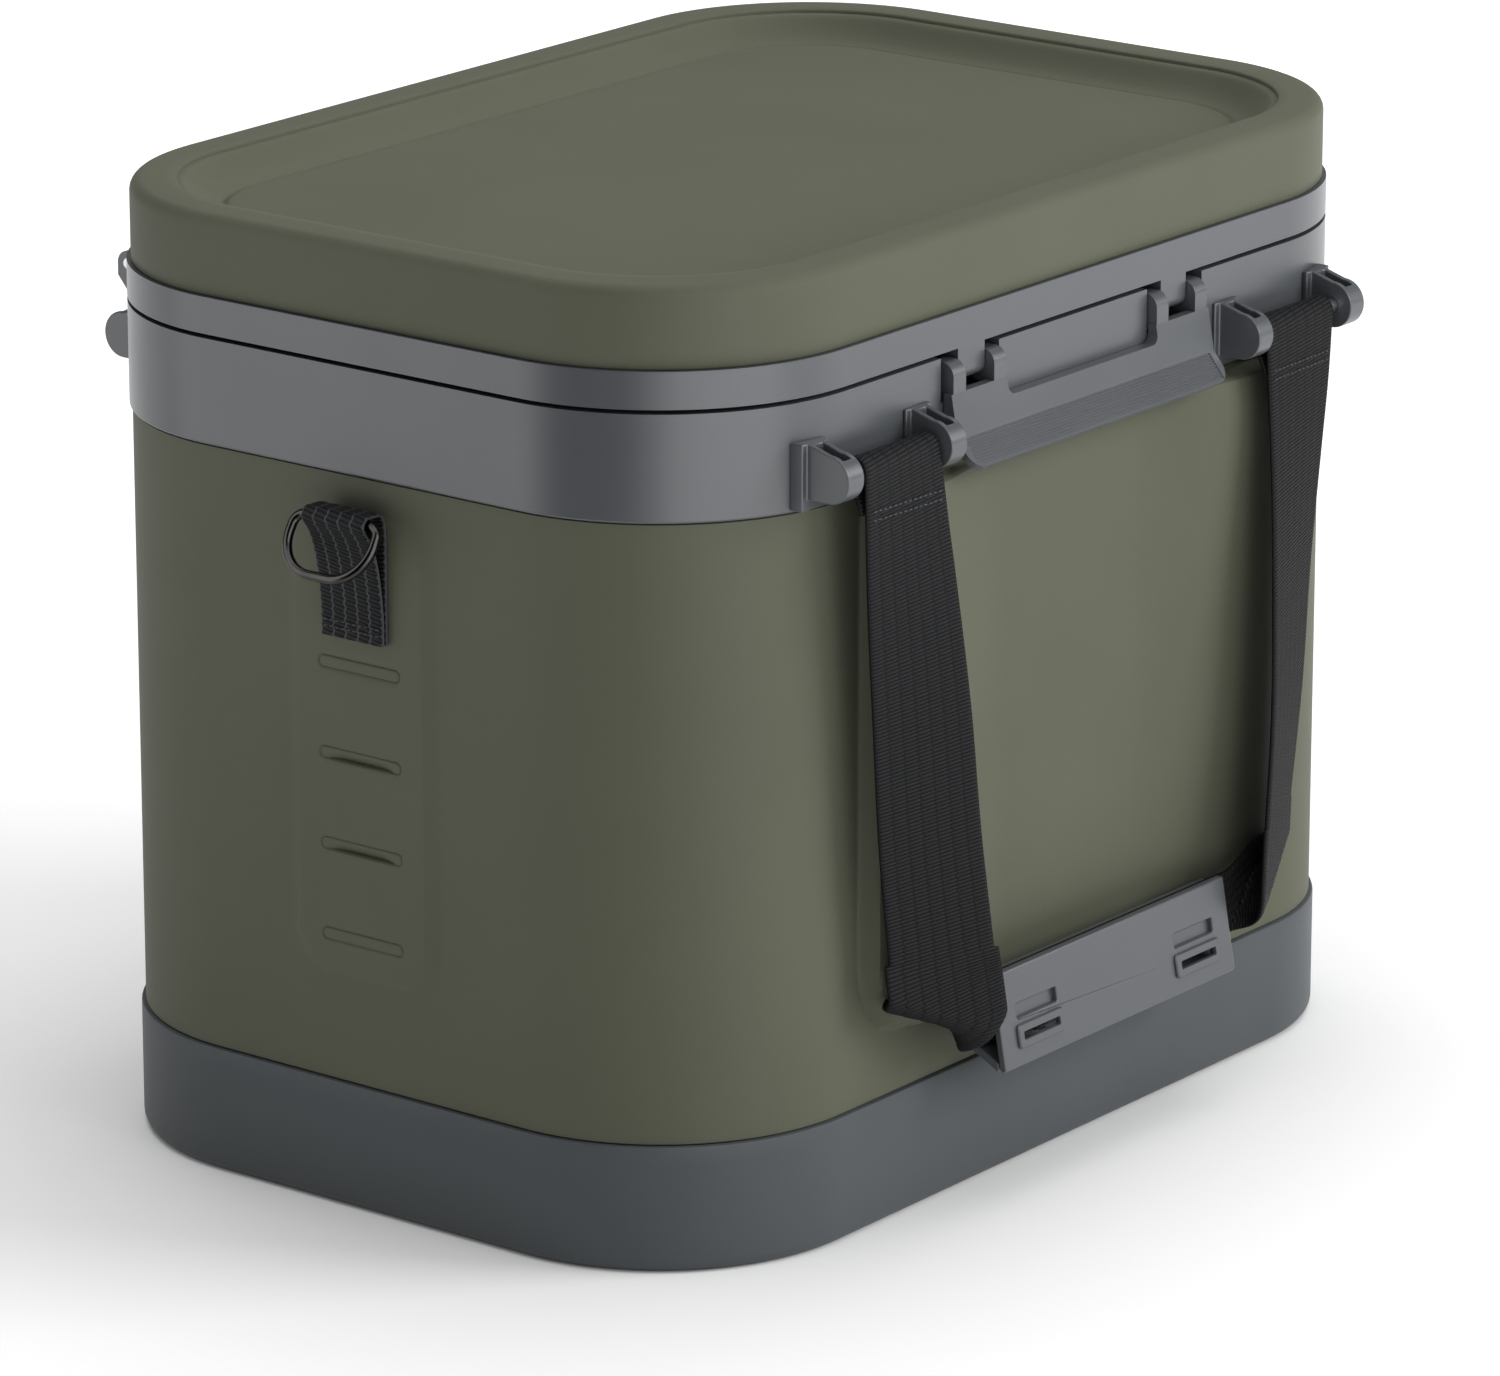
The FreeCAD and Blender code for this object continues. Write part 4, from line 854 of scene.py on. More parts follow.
@dataclass
class Boot:
    """Moulded boot with a flat sole and a rounded lower edge."""

    top: float = 42.0
    proud: float = 0.4
    round: float = 4.0
    floor: float = 3.0
    wall: float = 3.2

    def build(self) -> None:
        """Sweep the boot's section and close its sole."""
        out, r = -self.proud, self.round
        profile = [(out + r + 2, 0.0), (out + r, 0.0)]
        profile += arc((out + r, r), r, (255, 240, 225, 210, 195, 180))
        profile += [(out, z) for z in (12.0, 24.0, 36.0)]
        profile += [(out, self.top - 0.8), (out + 0.25, self.top - 0.2), (out + 0.8, self.top),
                    (self.wall - 0.4, self.top), (self.wall, self.top - 0.4), (self.wall, self.floor)]
        piece = ring_piece("base_boot_skin", profile, GREY_BOOT,
                           floor=[(0.6, 0.0), (0.2, 0.0)],
                           crown=[(0.6, self.floor), (0.2, self.floor)], sharp=35)
        settle(piece, "tub", Slot.BOOT, "base_boot")


@dataclass
class LinerTub:
    """Welded liner: a flange under the frame, a wall and a floor with a coved edge."""

    flange: float = 12.0
    wall: float = 22.0
    gauge: float = 1.5
    floor: float = 24.0
    top: float = 262.0
    cove: float = 9.0

    def build(self) -> None:
        """Sweep the liner's section, inside and out, and close both floors."""
        inner = self.wall + self.gauge
        profile = [(self.wall + self.cove, self.floor), (self.wall, self.floor),
                   (self.wall, self.top - self.gauge), (self.flange, self.top - self.gauge),
                   (self.flange, self.top), (inner - 0.6, self.top), (inner, self.top - 0.6)]
        base = self.floor + self.gauge + self.cove
        profile += [(inner, z) for z in (200.0, 140.0, 80.0)]
        profile += arc((inner + self.cove, base), self.cove, range(180, 271, 15))
        piece = ring_piece("inner_liner_skin", profile, LINER_SHEET,
                           floor=[(0.6, self.floor), (0.2, self.floor)],
                           crown=[(0.7, self.floor + self.gauge), (0.3, self.floor + self.gauge)], sharp=35)
        settle(piece, "tub", Slot.LINER, "inner_liner")


@dataclass
class LidSkin:
    """Coated-fabric lid: soft outer edge, flat rim, a fine step, a sloping tray wall and a crowned panel."""

    seam: float = 291.8
    top: float = 318.0
    inset: float = 1.4
    edge: float = 4.0
    step: float = 16.6
    groove: float = 31.2
    tray: float = 308.7
    crown: float = 1.5

    # Distance in from the step or the groove, and drop below the rim or the panel.
    STEP: ClassVar[tuple[tuple[float, float], ...]] = (
        (-4, 0), (-0.6, 0.05), (-0.15, 0.25), (0, 0.7), (0.05, 1.3), (0.5, 1.45), (1.1, 1.3), (1.9, 1.45),
        (2.8, 2.1), (3.7, 3.1), (6.2, 5.9), (8.6, 8.0), (10.6, 9.2))
    GROOVE: ClassVar[tuple[tuple[float, float], ...]] = (
        (-2.2, 0.3), (-0.7, 0.75), (0, 1.5), (0.7, 1.5), (1.0, 0.5), (1.6, 0.1), (2.6, 0))

    def build(self) -> None:
        """Sweep the lid's section and close its panel and its hollow underside."""
        r = self.edge
        profile = [(5.1, self.top - 13.5), (5.1, self.seam), (self.inset + 0.5, self.seam),
                   (self.inset, self.seam + 0.5)]
        profile += [(self.inset, z) for z in (298.0, 306.0, self.top - r)]
        profile += arc((self.inset + r, self.top - r), r, (165, 150, 135, 120, 105, 90))
        profile += [(self.step + along, self.top - drop) for along, drop in self.STEP]
        profile += [(self.groove + along, self.tray - drop) for along, drop in self.GROOVE]
        rise = [(share, self.tray + self.crown * (1 - share ** 3))
                for share in (0.94, 0.85, 0.7, 0.5, 0.3, 0.1)]
        piece = ring_piece("lid_skin", profile, OLIVE_SKIN,
                           floor=[(0.6, self.top - 13.5), (0.2, self.top - 13.5)], crown=rise, sharp=50)
        settle(piece, "lid", Slot.OLIVE, "lid_shell")


@dataclass
class LidSeal:
    """Soft seal in the lid frame's groove, with a rounded lip."""

    inner: float = 12.8
    outer: float = 8.2
    low: float = 278.75
    high: float = 283.2

    def build(self) -> None:
        """Sweep the seal's section."""
        mid = (self.inner + self.outer) / 2
        half = (self.inner - self.outer) / 2
        lip = [(mid + half * math.cos(math.radians(a)), self.low + 2 - 2 * math.sin(math.radians(a)))
               for a in range(180, -1, -20)]
        profile = [(self.outer, self.high)] + lip + [(self.inner, self.high)]
        settle(ring_piece("lid_seal", profile, SEAL), "lid", Slot.SEAL, "lid_gasket")


# ---------------------------------------------------------------- webbing

@dataclass
class WebbingCloth:
    """Flat webbing with its columns and picks raised as real relief."""

    width: float
    gauge: float
    columns: int
    finish: WovenWebbing
    pick: float = 1.2
    relief: float = 0.26
    wander: float = 0.28
    across: int = 5

    def lines(self) -> Array:
        """Places across the webbing, in millimetres from its middle."""
        return np.linspace(-self.width / 2, self.width / 2, self.columns * self.across + 1)

    def height(self, along: Array, across: Array) -> Array:
        """Relief of the weave in millimetres, from 0 to 1 times the relief."""
        wander = self.wander * np.sin(along * math.pi / self.pick)
        column = (across + self.width / 2 + wander) / (self.width / self.columns)
        share = column - np.floor(column)
        edge = np.abs(share - 0.5) * 2
        turns = along / self.pick + 0.5 * (np.floor(column) % 2) + 0.55 * share
        rib = np.abs(np.sin(turns * math.pi))
        crown = np.sqrt(np.clip(1 - edge ** 2 * 0.9, 0, 1))
        return self.relief * (0.6 * rib + 0.4) * crown

    def strip(self, middle: Array, along: Array) -> tuple[Array, list[tuple[int, ...]], Array]:
        """Thicken a grid of mid-surface points into webbing.

        Args:
            middle: (n, m, 3) places in metres; m follows lines().
            along: (n,) distance along the webbing in millimetres.
        Returns:
            Points, faces and a UV in millimetres for each point.
        """
        across = self.lines()
        run = np.gradient(middle, axis=0)
        side = np.gradient(middle, axis=1)
        normal = np.cross(run, side)
        normal /= np.linalg.norm(normal, axis=2, keepdims=True)
        side /= np.linalg.norm(side, axis=2, keepdims=True)
        grid_s, grid_w = np.meshgrid(along, across, indexing="ij")
        weave = self.height(grid_s, grid_w)
        thin = np.clip((self.width / 2 - np.abs(grid_w)) / 1.2, 0, 1) ** 0.5 * 0.45 + 0.55
        half = (self.gauge / 2 - self.relief) * thin + weave
        front = middle + normal * (half * MM)[:, :, None]
        back = middle - normal * (half * MM)[:, :, None]
        lift = 0.25 * MM
        loops = np.concatenate([front, (middle[:, -1:] + side[:, -1:] * lift), back[:, ::-1],
                                (middle[:, :1] - side[:, :1] * lift)], axis=1)
        uv_w = np.concatenate([across, [self.width / 2], across[::-1], [-self.width / 2]]) + self.width / 2
        count = loops.shape[1]
        uv = np.stack(np.broadcast_arrays(uv_w[None, :], along[:, None]), axis=2)
        faces = grid_faces(len(along), count, False, True)
        wide = len(across)
        for base, flip in ((0, False), ((len(along) - 1) * count, True)):
            for k in range(wide - 1):
                face = (base + k + 1, base + k, base + 2 * wide - k, base + 2 * wide - 1 - k)
                faces.append(tuple(reversed(face)) if flip else face)
            for corner in ((wide - 1, wide, wide + 1), (2 * wide + 1, 0, 2 * wide)):
                face = tuple(base + c for c in corner)
                faces.append(tuple(reversed(face)) if not flip else face)
        return loops.reshape(-1, 3), faces, uv.reshape(-1, 2)


@dataclass
class HandleStrap:
    """Carry handle webbing: looped over both pins, twisted on its way down, folded in to a band."""

    name: str
    body: str
    node: str
    face: int
    cloth: WebbingCloth = field(default_factory=lambda: WebbingCloth(38.0, 1.9, 7, STRAP_WEBBING))
    pin_out: float = 144.5
    pin_up: float = 256.0
    pin_at: float = 108.5
    loop: float = 3.75
    tail: float = 14.0
    tail_at: float = 108.2
    tail_away: float = 6.2
    tail_turn: float = 3.0
    lean: float = 8.0
    twist: float = 23.0
    fold_slope: float = 22.8
    fold_radius: float = 4.0
    fold_at: tuple[float, float, float] = (88.0, 153.6, 71.8)
    band_out: float = 147.2
    band_mid: float = 64.6
    band_half: float = 11.0
    step: float = 0.42
    seam_heights: tuple[float, float] = (243.0, 240.2)
    seam_span: tuple[float, float] = (92.0, 123.5)
    seam_out: float = 152.0

    def run_keys(self) -> Array:
        """Middle of the run: height, distance from the centre, distance out and twist."""
        return np.array([[256.0, 108.5, 148.3, 0.0], [234.0, 107.3, 149.3, 4.0], [212.0, 105.6, 150.2, 9.0],
                         [172.0, 102.0, 151.6, 16.0], [130.0, 98.8, 152.8, 20.0], [92.0, 93.6, 153.6, 23.0]])

    def half_surface(self) -> tuple[Array, Array]:
        """Mid-surface of the +X half, from the sewn tail to the chest's middle.

        Returns:
            (n, m, 3) places with Y as distance out, and the (n,) distance along, in millimetres.
        """
        across = self.cloth.lines()
        rows, along = [], []
        distance = 0.0

        def lay(centre: Sequence[float], turn: float, gone: float) -> None:
            """Add one straight line of points across the webbing."""
            nonlocal distance
            distance += gone
            x, out, z = centre
            c, s = math.cos(math.radians(turn)), math.sin(math.radians(turn))
            rows.append(np.column_stack([x + across * c, out - across * s, np.full(len(across), z)]))
            along.append(distance)

        for k in range(int(self.tail / self.step)):
            share = 1 - k * self.step / self.tail
            out = self.pin_out - self.loop + self.tail_away * float(smooth(share, 0, 1))
            lay((self.tail_at, out, self.pin_up - self.tail * share), self.tail_turn * share, self.step)
        count = int(math.pi * self.loop / self.step)
        for k in range(count):
            angle = math.pi * k / count
            out, up = self.loop * math.cos(angle), self.loop * math.sin(angle)
            lay((self.pin_at, self.pin_out - out, self.pin_up + up), 0, self.step)
        keys = self.run_keys()
        fine = np.arange(keys[0, 0], keys[-1, 0], -self.step)
        columns = [self.curve(keys[::-1, 0], keys[::-1, k], fine) for k in (1, 2, 3)]
        for z, x, out, turn in zip(fine, *columns):
            lay((x, out, z), turn, self.step)
        start = np.array([columns[0][-1], fine[-1]])
        self.fold(rows, along, start, distance)
        return np.array(rows) * MM, np.array(along)

    @staticmethod
    def curve(at: Array, values: Array, wanted: Array) -> Array:
        """Smooth curve through values at rising places, by monotone cubic pieces."""
        slopes = np.gradient(values, at)
        index = np.clip(np.searchsorted(at, wanted) - 1, 0, len(at) - 2)
        span = at[index + 1] - at[index]
        t = (wanted - at[index]) / span
        h00, h10 = 2 * t ** 3 - 3 * t ** 2 + 1, t ** 3 - 2 * t ** 2 + t
        h01, h11 = -2 * t ** 3 + 3 * t ** 2, t ** 3 - t ** 2
        return (h00 * values[index] + h10 * span * slopes[index]
                + h01 * values[index + 1] + h11 * span * slopes[index + 1])

    def fold(self, rows: list[Array], along: list[float], start: Array, distance: float) -> None:
        """Carry the webbing round its slanting fold and lay it in as a band to the middle.

        Args:
            rows: Lines of points so far; the new ones are added.
            along: Distances so far.
            start: Distance from the centre and height of the run's last line.
            distance: Distance along at that line.
        """
        across = self.cloth.lines()
        beta = math.radians(self.twist)
        slope = math.radians(self.fold_slope)
        axis = np.array([math.cos(slope), math.sin(slope)])
        ahead = np.array([math.sin(slope), -math.cos(slope)])
        lean = math.radians(self.lean)
        down = np.array([-math.sin(lean), -math.cos(lean)])
        aside = np.array([math.cos(lean), -math.sin(lean)])
        origin = np.array([self.fold_at[0], self.fold_at[2]])
        first_out = rows[-1][:, 1].mean()
        r = self.fold_radius
        reach = float((origin - start) @ ahead / (down @ ahead))
        leave = distance + reach + math.pi * r
        total = leave + self.fold_at[0] + 1.0
        far = distance
        while far < total:
            far = min(far + self.step, total)
            went = far - distance
            swing = float(smooth(went, 0, 14))
            tilt = aside * swing + np.array([1.0, 0.0]) * (1 - swing)
            tilt /= np.linalg.norm(tilt)
            flat = start + down * went + across[:, None] * tilt - origin
            q = flat @ ahead
            t = flat @ axis
            angle = np.clip(q / r, 0, math.pi)
            q_new = np.where(q < 0, q, np.where(q < math.pi * r, r * np.sin(angle), -(q - math.pi * r)))
            back = r * (1 - np.cos(angle))
            plane = origin + t[:, None] * axis + q_new[:, None] * ahead
            inward = (plane[:, 0] - start[0])
            out = first_out - inward * math.tan(beta) * np.where(q < math.pi * r, 1, 0.4) - back
            folded = np.column_stack([plane[:, 0], out, plane[:, 1]])
            band_x = self.fold_at[0] - (far - leave)
            band = np.column_stack([np.full(len(across), band_x), np.full(len(across), self.band_out),
                                    self.band_mid + across / across.max() * self.band_half])
            share = float(smooth(far, leave - 8, leave + 16))
            rows.append(folded * (1 - share) + band * share)
            along.append(far)

    def build(self) -> None:
        """Make both halves as one piece, and the stitching that closes each loop."""
        surface, along = self.half_surface()
        right = surface.copy()
        right[:, :, 1] *= self.face
        left = right[::-1].copy()
        left[:, :, 0] *= -1
        whole = np.concatenate([right, left[1:]])
        length = np.concatenate([along, 2 * along[-1] - along[::-1][1:]])
        points, faces, uv = self.cloth.strip(whole, length)
        piece = make_piece(self.name, points, faces, self.cloth.finish, 60, uv)
        settle(piece, self.body, Slot.WEBBING, self.node)
        near, far = self.seam_span
        out = self.face * self.seam_out
        rows = [Stitching.row((side * near, out, height), (side * far, out, height))
                for side in (-1, 1) for height in self.seam_heights]
        Stitching().sew(f"{self.name}_stitches", piece, self.body, rows, Vector((0, -self.face, 0)))


@dataclass
class RingTab:
    """Webbing tab on an end panel, looped round the D-ring's bar, and the ring in it."""

    side: int
    panel_out: float = 193.7
    foot: float = 191.9
    bar_out: float = 202.3
    bar_up: float = 232.2
    wire: float = 1.6
    half_bar: float = 12.9
    corner: float = 4.0
    shoulder: float = 6.2
    bow: float = 12.9
    tilt: float = 33.0
    cloth: WebbingCloth = field(default_factory=lambda: WebbingCloth(25.0, 1.5, 5, TAB_WEBBING, pick=1.4))

    @property
    def hand(self) -> str:
        """Left or right, as the nodes are named."""
        return "left" if self.side < 0 else "right"

    def path(self) -> Array:
        """Line of the webbing seen from the front: distance out and height, sewn end to sewn end."""
        p = self.panel_out
        r = self.wire + 0.3 + self.cloth.gauge / 2
        keys = [(p + 0.8, self.foot), (p + 0.8, 205.0), (p + 0.8, 220.0), (p + 1.0, 229.5), (p + 2.6, 234.2)]
        keys += arc((self.bar_out, self.bar_up), r, (112, 80, 45, 10, -25))
        keys += [(p + 7.6, 226.0), (p + 5.0, 218.5), (p + 3.3, 209.0), (p + 2.5, 200.0), (p + 2.4, self.foot)]
        return self.rounded(np.array(keys), 0.42)

    @staticmethod
    def rounded(points: Array, step: float) -> Array:
        """Even points along a Catmull-Rom curve through the given ones."""
        ends = np.vstack([2 * points[0] - points[1], points, 2 * points[-1] - points[-2]])
        fine = []
        for k in range(1, len(ends) - 2):
            a, b, c, d = ends[k - 1:k + 3]
            for t in np.linspace(0, 1, 24, endpoint=False):
                fine.append(0.5 * ((2 * b) + (c - a) * t + (2 * a - 5 * b + 4 * c - d) * t ** 2
                                   + (3 * b - a - 3 * c + d) * t ** 3))
        fine.append(points[-1])
        line = np.array(fine)
        gone = np.concatenate([[0], np.cumsum(np.linalg.norm(np.diff(line, axis=0), axis=1))])
        even_places = np.linspace(0, gone[-1], int(gone[-1] / step))
        return np.column_stack([np.interp(even_places, gone, line[:, k]) for k in range(line.shape[1])])

    def build(self) -> None:
        """Make the tab and its ring."""
        line = self.path()
        across = self.cloth.lines()
        rows = np.stack([np.broadcast_to((self.side * line[:, 0])[:, None], (len(line), len(across))),
                         np.broadcast_to(across[None, :], (len(line), len(across))),
                         np.broadcast_to(line[:, 1][:, None], (len(line), len(across)))], axis=2) * MM
        along = np.concatenate([[0], np.cumsum(np.linalg.norm(np.diff(line, axis=0), axis=1))])
        points, faces, uv = self.cloth.strip(rows, along)
        tab = make_piece(f"{self.hand}_tab_webbing", points, faces, TAB_WEBBING, 60, uv)
        settle(tab, "tub", Slot.WEBBING, f"{self.hand}_ring_tab")
        out = self.side * (self.panel_out + 3)
        rows = [Stitching.row((out, -10.5, z), (out, 10.5, z)) for z in (195.0, 197.2)]
        Stitching().sew(f"{self.hand}_tab_stitches", tab, "tub", rows, Vector((-self.side, 0, 0)))
        self.build_ring()

    def build_ring(self) -> None:
        """Bend the wire round its D: bar, small corners and a half-round bow."""
        c, b = self.corner, self.half_bar
        flat = [(x, 0.0) for x in even(-b, b, 3.0)]
        flat += arc((b, -c), c, range(75, -1, -15))
        turn, low = b + c - self.bow, -self.shoulder
        flat += arc((turn, low), self.bow, range(0, -91, -6))
        flat += arc((-turn, low), self.bow, range(-90, -181, -6))
        flat += arc((-b, -c), c, range(165, 90, -15))
        tilt = math.radians(self.tilt)
        sine, cosine = math.sin(tilt), math.cos(tilt)
        line = np.array([(self.side * (self.bar_out - z * sine), y, self.bar_up + z * cosine)
                         for y, z in flat])
        run = np.roll(line, -1, axis=0) - np.roll(line, 1, axis=0)
        run /= np.linalg.norm(run, axis=1, keepdims=True)
        plane = np.array([self.side * math.cos(tilt), 0, math.sin(tilt)])
        side = np.cross(run, plane)
        turns = np.radians(np.arange(0, 360, 22.5))
        loops = (line[:, None] + self.wire * (np.cos(turns)[None, :, None] * plane
                                              + np.sin(turns)[None, :, None] * side[:, None])) * MM
        faces = grid_faces(len(line), len(turns), True, True)
        ring = make_piece(f"{self.hand}_ring_wire", loops.reshape(-1, 3), faces, RING_STEEL, 60)
        settle(ring, f"{self.hand}_ring", Slot.RING, f"{self.hand}_d_ring")


# ---------------------------------------------------------------- thread and screws

@dataclass
class Stitching:
    """Rows of lockstitch laid on a finished piece of webbing."""

    length: float = 1.7
    thread: float = 0.28

    def shape(self) -> bpy.types.Object:
        """One stitch: a short rounded length of thread lying along +X."""
        half = self.length / 2
        profile = ((-half, 0.35), (-0.8 * half, 0.8), (-0.3 * half, 1.0),
                   (0.3 * half, 1.0), (0.8 * half, 0.8), (half, 0.35))
        turns = np.arange(8) * math.pi / 4
        loops = [np.column_stack([np.full(8, x), self.thread * r * np.cos(turns),
                                  self.thread * r * np.sin(turns)]) for x, r in profile]
        faces = grid_faces(len(profile), 8, False, True)
        faces += [tuple(range(8)), tuple(range(len(profile) * 8 - 1, len(profile) * 8 - 9, -1))]
        stitch = make_piece("stitch", np.concatenate(loops) * MM, fan_capped(faces), THREAD)
        bpy.context.scene.collection.objects.unlink(stitch)
        return stitch

    def sew(self, name: str, cloth: bpy.types.Object, body: str, rows: Sequence[Array],
            towards: Vector) -> None:
        """Stitch rows on the side of the webbing that faces one way.

        Args:
            name: Piece name.
            cloth: Webbing that is sewn.
            body: Body it rides on.
            rows: Places of each row's stitches in millimetres, near the webbing.
            towards: Direction that the needle goes in.
        """
        tree = BVHTree.FromPolygons([v.co for v in cloth.data.vertices],
                                    [tuple(f.vertices) for f in cloth.data.polygons])
        places, facing, along = [], [], []
        for row in rows:
            run = (row[-1] - row[0]) / np.linalg.norm(row[-1] - row[0])
            for place in row:
                start = Vector(place * MM) - towards * 0.03
                hit, normal, _, _ = tree.ray_cast(start, towards, 0.06)
                if hit is not None:
                    places.append(hit - towards * 0.00008)
                    facing.append(normal if normal.dot(towards) < 0 else -normal)
                    along.append(run)
        seam = Repeats(name, self.shape(), THREAD, 0.06, 0.08)
        piece = seam.build(np.array(places), np.array(facing), np.array(along))
        settle(piece, body, Slot.WEBBING)

    @staticmethod
    def row(start: Sequence[float], end: Sequence[float], pitch: float = 2.3) -> Array:
        """Even places from start to end."""
        count = int(np.linalg.norm(np.subtract(end, start)) / pitch) + 1
        return np.linspace(start, end, count)


@dataclass
class Screws:
    """Pan-head screws with a hexagon recess, one at each screw of a CAD node."""

    name: str
    node: str
    body: str
    shank: float = 1.75
    head: float = 3.4
    head_tall: float = 2.0
    socket: float = 1.45
    seed: int = 5

    def build(self) -> None:
        """Find the screws' axes in the node and set a turned screw at each."""
        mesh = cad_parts[self.node].data
        spots = np.array([v.co[:] for v in mesh.vertices])
        low, high = spots[:, 2].min() / MM, spots[:, 2].max() / MM
        centres: list[list[Array]] = []
        for spot in spots:
            for cluster in centres:
                if np.linalg.norm(cluster[0][:2] - spot[:2]) < 8 * MM:
                    cluster.append(spot)
                    break
            else:
                centres.append([spot])
        places = np.array([(np.min(c, axis=0) + np.max(c, axis=0)) / 2 for c in centres])
        head_down = self.wide_end(spots) < (low + high) / 2
        foot = high if head_down else low
        places[:, 2] = foot * MM
        tall = high - low
        rings = [(self.shank - 0.5, 0.02, 0), (self.shank, 0.8, 0), (self.shank, tall - self.head_tall, 0),
                 (self.head, tall - self.head_tall, 0), (self.head, tall - 0.7, 0),
                 (self.head - 0.25, tall - 0.25, 0), (self.head - 0.8, tall, 0),
                 (self.socket + 0.1, tall, 6), (self.socket, tall - 0.1, 6),
                 (self.socket, tall - 1.3, 6), (0.2, tall - 1.6, 6)]
        screw = turned_shape(f"{self.name}_shape", rings)
        way = np.array([[0.0, 0.0, -1.0 if head_down else 1.0]] * len(places))
        side = np.array([[1.0, 0.0, 0.0]] * len(places))
        piece = Repeats(self.name, screw, PIN_STEEL, math.pi, 0.0, self.seed).build(places, way, side)
        settle(piece, self.body, Slot.PIN, self.node)

    def wide_end(self, spots: Array) -> float:
        """Middle height, in millimetres, of the points that lie out on the heads."""
        first = spots[0]
        near = spots[np.linalg.norm(spots[:, :2] - first[:2], axis=1) < 8 * MM]
        centre = (near.min(axis=0) + near.max(axis=0)) / 2
        reach = np.linalg.norm(near[:, :2] - centre[:2], axis=1)
        return float(near[reach > (self.shank + 0.8) * MM][:, 2].mean() / MM)


@dataclass
class GripSnaps:
    """Backs of the grip's snap windows and the loops round the lower ones."""

    hinge: tuple[float, float] = (157.7, 46.6)
    top: tuple[float, float] = (152.3, 77.0)
    centre: float = 43.8
    middle: float = 59.0

    def on_flap(self, across: Array, up: Array, lift: Array) -> Array:
        """Places on the flap's outer face from distance across, height and lift, in metres."""
        run = np.subtract(self.top, self.hinge) / np.linalg.norm(np.subtract(self.top, self.hinge))
        share = (up - self.hinge[1]) / run[1]
        out = self.hinge[0] + share * run[0] + lift * run[1]
        height = up - lift * run[0]
        return np.column_stack([across, -out, height]) * MM

    @staticmethod
    def outline(half_wide: float, half_tall: float, radius: float) -> Array:
        """Rounded rectangle as points round its middle."""
        points = []
        for sx, sz, start in ((1, 1, 0), (-1, 1, 90), (-1, -1, 180), (1, -1, 270)):
            points += arc((sx * (half_wide - radius), sz * (half_tall - radius)), radius,
                          range(start, start + 91, 15))
        return np.array(points)

    def build(self) -> None:
        """Make a backing plate and a raised loop on each side."""
        for hand, side in (("left", -1), ("right", 1)):
            x = side * self.centre
            plate = self.stack(x, self.middle + 4.1, [(12.2, 3.6, -2.6, 1.0), (12.2, 3.6, -1.9, 1.0)], True)
            loop = self.stack(x, self.middle - 4.0, [(12.0, 3.7, -0.6, 1.2), (12.4, 3.9, 0.6, 1.4),
                                                     (12.1, 3.6, 1.1, 1.3), (9.9, 1.4, 1.1, 0.6),
                                                     (9.7, 1.2, 0.6, 0.5), (9.7, 1.2, -0.6, 0.5)], False)
            for label, (points, faces) in (("window_back", plate), ("snap_loop", loop)):
                piece = make_piece(f"grip_{hand}_{label}", points, faces, GREY_NYLON, 35)
                settle(piece, "grip_flap", Slot.MOULDING)

    def stack(self, x: float, z: float, rings: Sequence[tuple[float, float, float, float]],
              capped: bool) -> tuple[Array, list[tuple[int, ...]]]:
        """Join rounded rectangles at several lifts into one closed shape.

        Args:
            x: Middle across the chest in millimetres.
            z: Middle height.
            rings: Half width, half height, lift off the flap and corner radius of each outline.
            capped: Whether the ends are closed by flat faces; otherwise the last ring joins the first.
        Returns:
            Points and faces.
        """
        loops = []
        for wide, tall, lift, radius in rings:
            flat = self.outline(wide, tall, radius)
            loops.append(self.on_flap(x + flat[:, 0], z + flat[:, 1], np.full(len(flat), lift)))
        count = len(loops[0])
        faces = grid_faces(len(rings), count, not capped, True)
        if capped:
            faces += [tuple(range(count)), tuple(range(2 * count - 1, count - 1, -1))]
        return np.concatenate(loops), fan_capped(faces)


# ---------------------------------------------------------------- moulded parts

@dataclass
class Mouldings:
    """Frames, brackets, latch and grip: moulded nylon with softly broken edges."""

    flange_top: float = 252.9
    flange_out: float = 141.1

    def on_flange_grooves(self, place: Vector) -> bool:
        """Whether a place lies on the lever's fine grooves, whose edges stay crisp."""
        return (-place.y > self.flange_out * MM and place.z < self.flange_top * MM
                and abs(place.x) < 67.4 * MM and place.z > 243.9 * MM)

    def build(self) -> None:
        """Copy each moulded node with its edges broken."""
        for node, body, width in (("body_frame", "tub", 0.7), ("front_brackets", "tub", 0.7),
                                  ("rear_brackets", "tub", 0.7), ("lid_frame", "lid", 0.7),
                                  ("latch_lever", "latch", 0.6), ("grip_back", "front_handle", 0.4),
                                  ("grip_front", "grip_flap", 0.5), ("lid_liner", "lid", 0.8)):
            crisp = self.on_flange_grooves if node == "latch_lever" else None
            liner = node == "lid_liner"
            piece = softened(f"{node}_moulding", node, LINER_SHEET if liner else GREY_NYLON, width * MM,
                             crisp=crisp)
            settle(piece, body, Slot.LINER if liner else Slot.MOULDING, node)


def dress_plain_nodes() -> None:
    """Give the nodes that keep their own mesh their materials."""
    choices = {"wall_insulation": FOAM, "lid_insulation": FOAM, "bottom_board": BOARD,
               "liner_clamp_ring": GREY_NYLON, "front_strap_pins": PIN_STEEL,
               "rear_strap_pins": PIN_STEEL, "hinge_pins": PIN_STEEL, "latch_pins": PIN_STEEL}
    for node, finish in choices.items():
        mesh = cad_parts[node].data
        mesh.materials.clear()
        mesh.materials.append(finish.material())
        log.info("%s keeps its mesh, in %s", node, finish.name)


# ---------------------------------------------------------------- studio

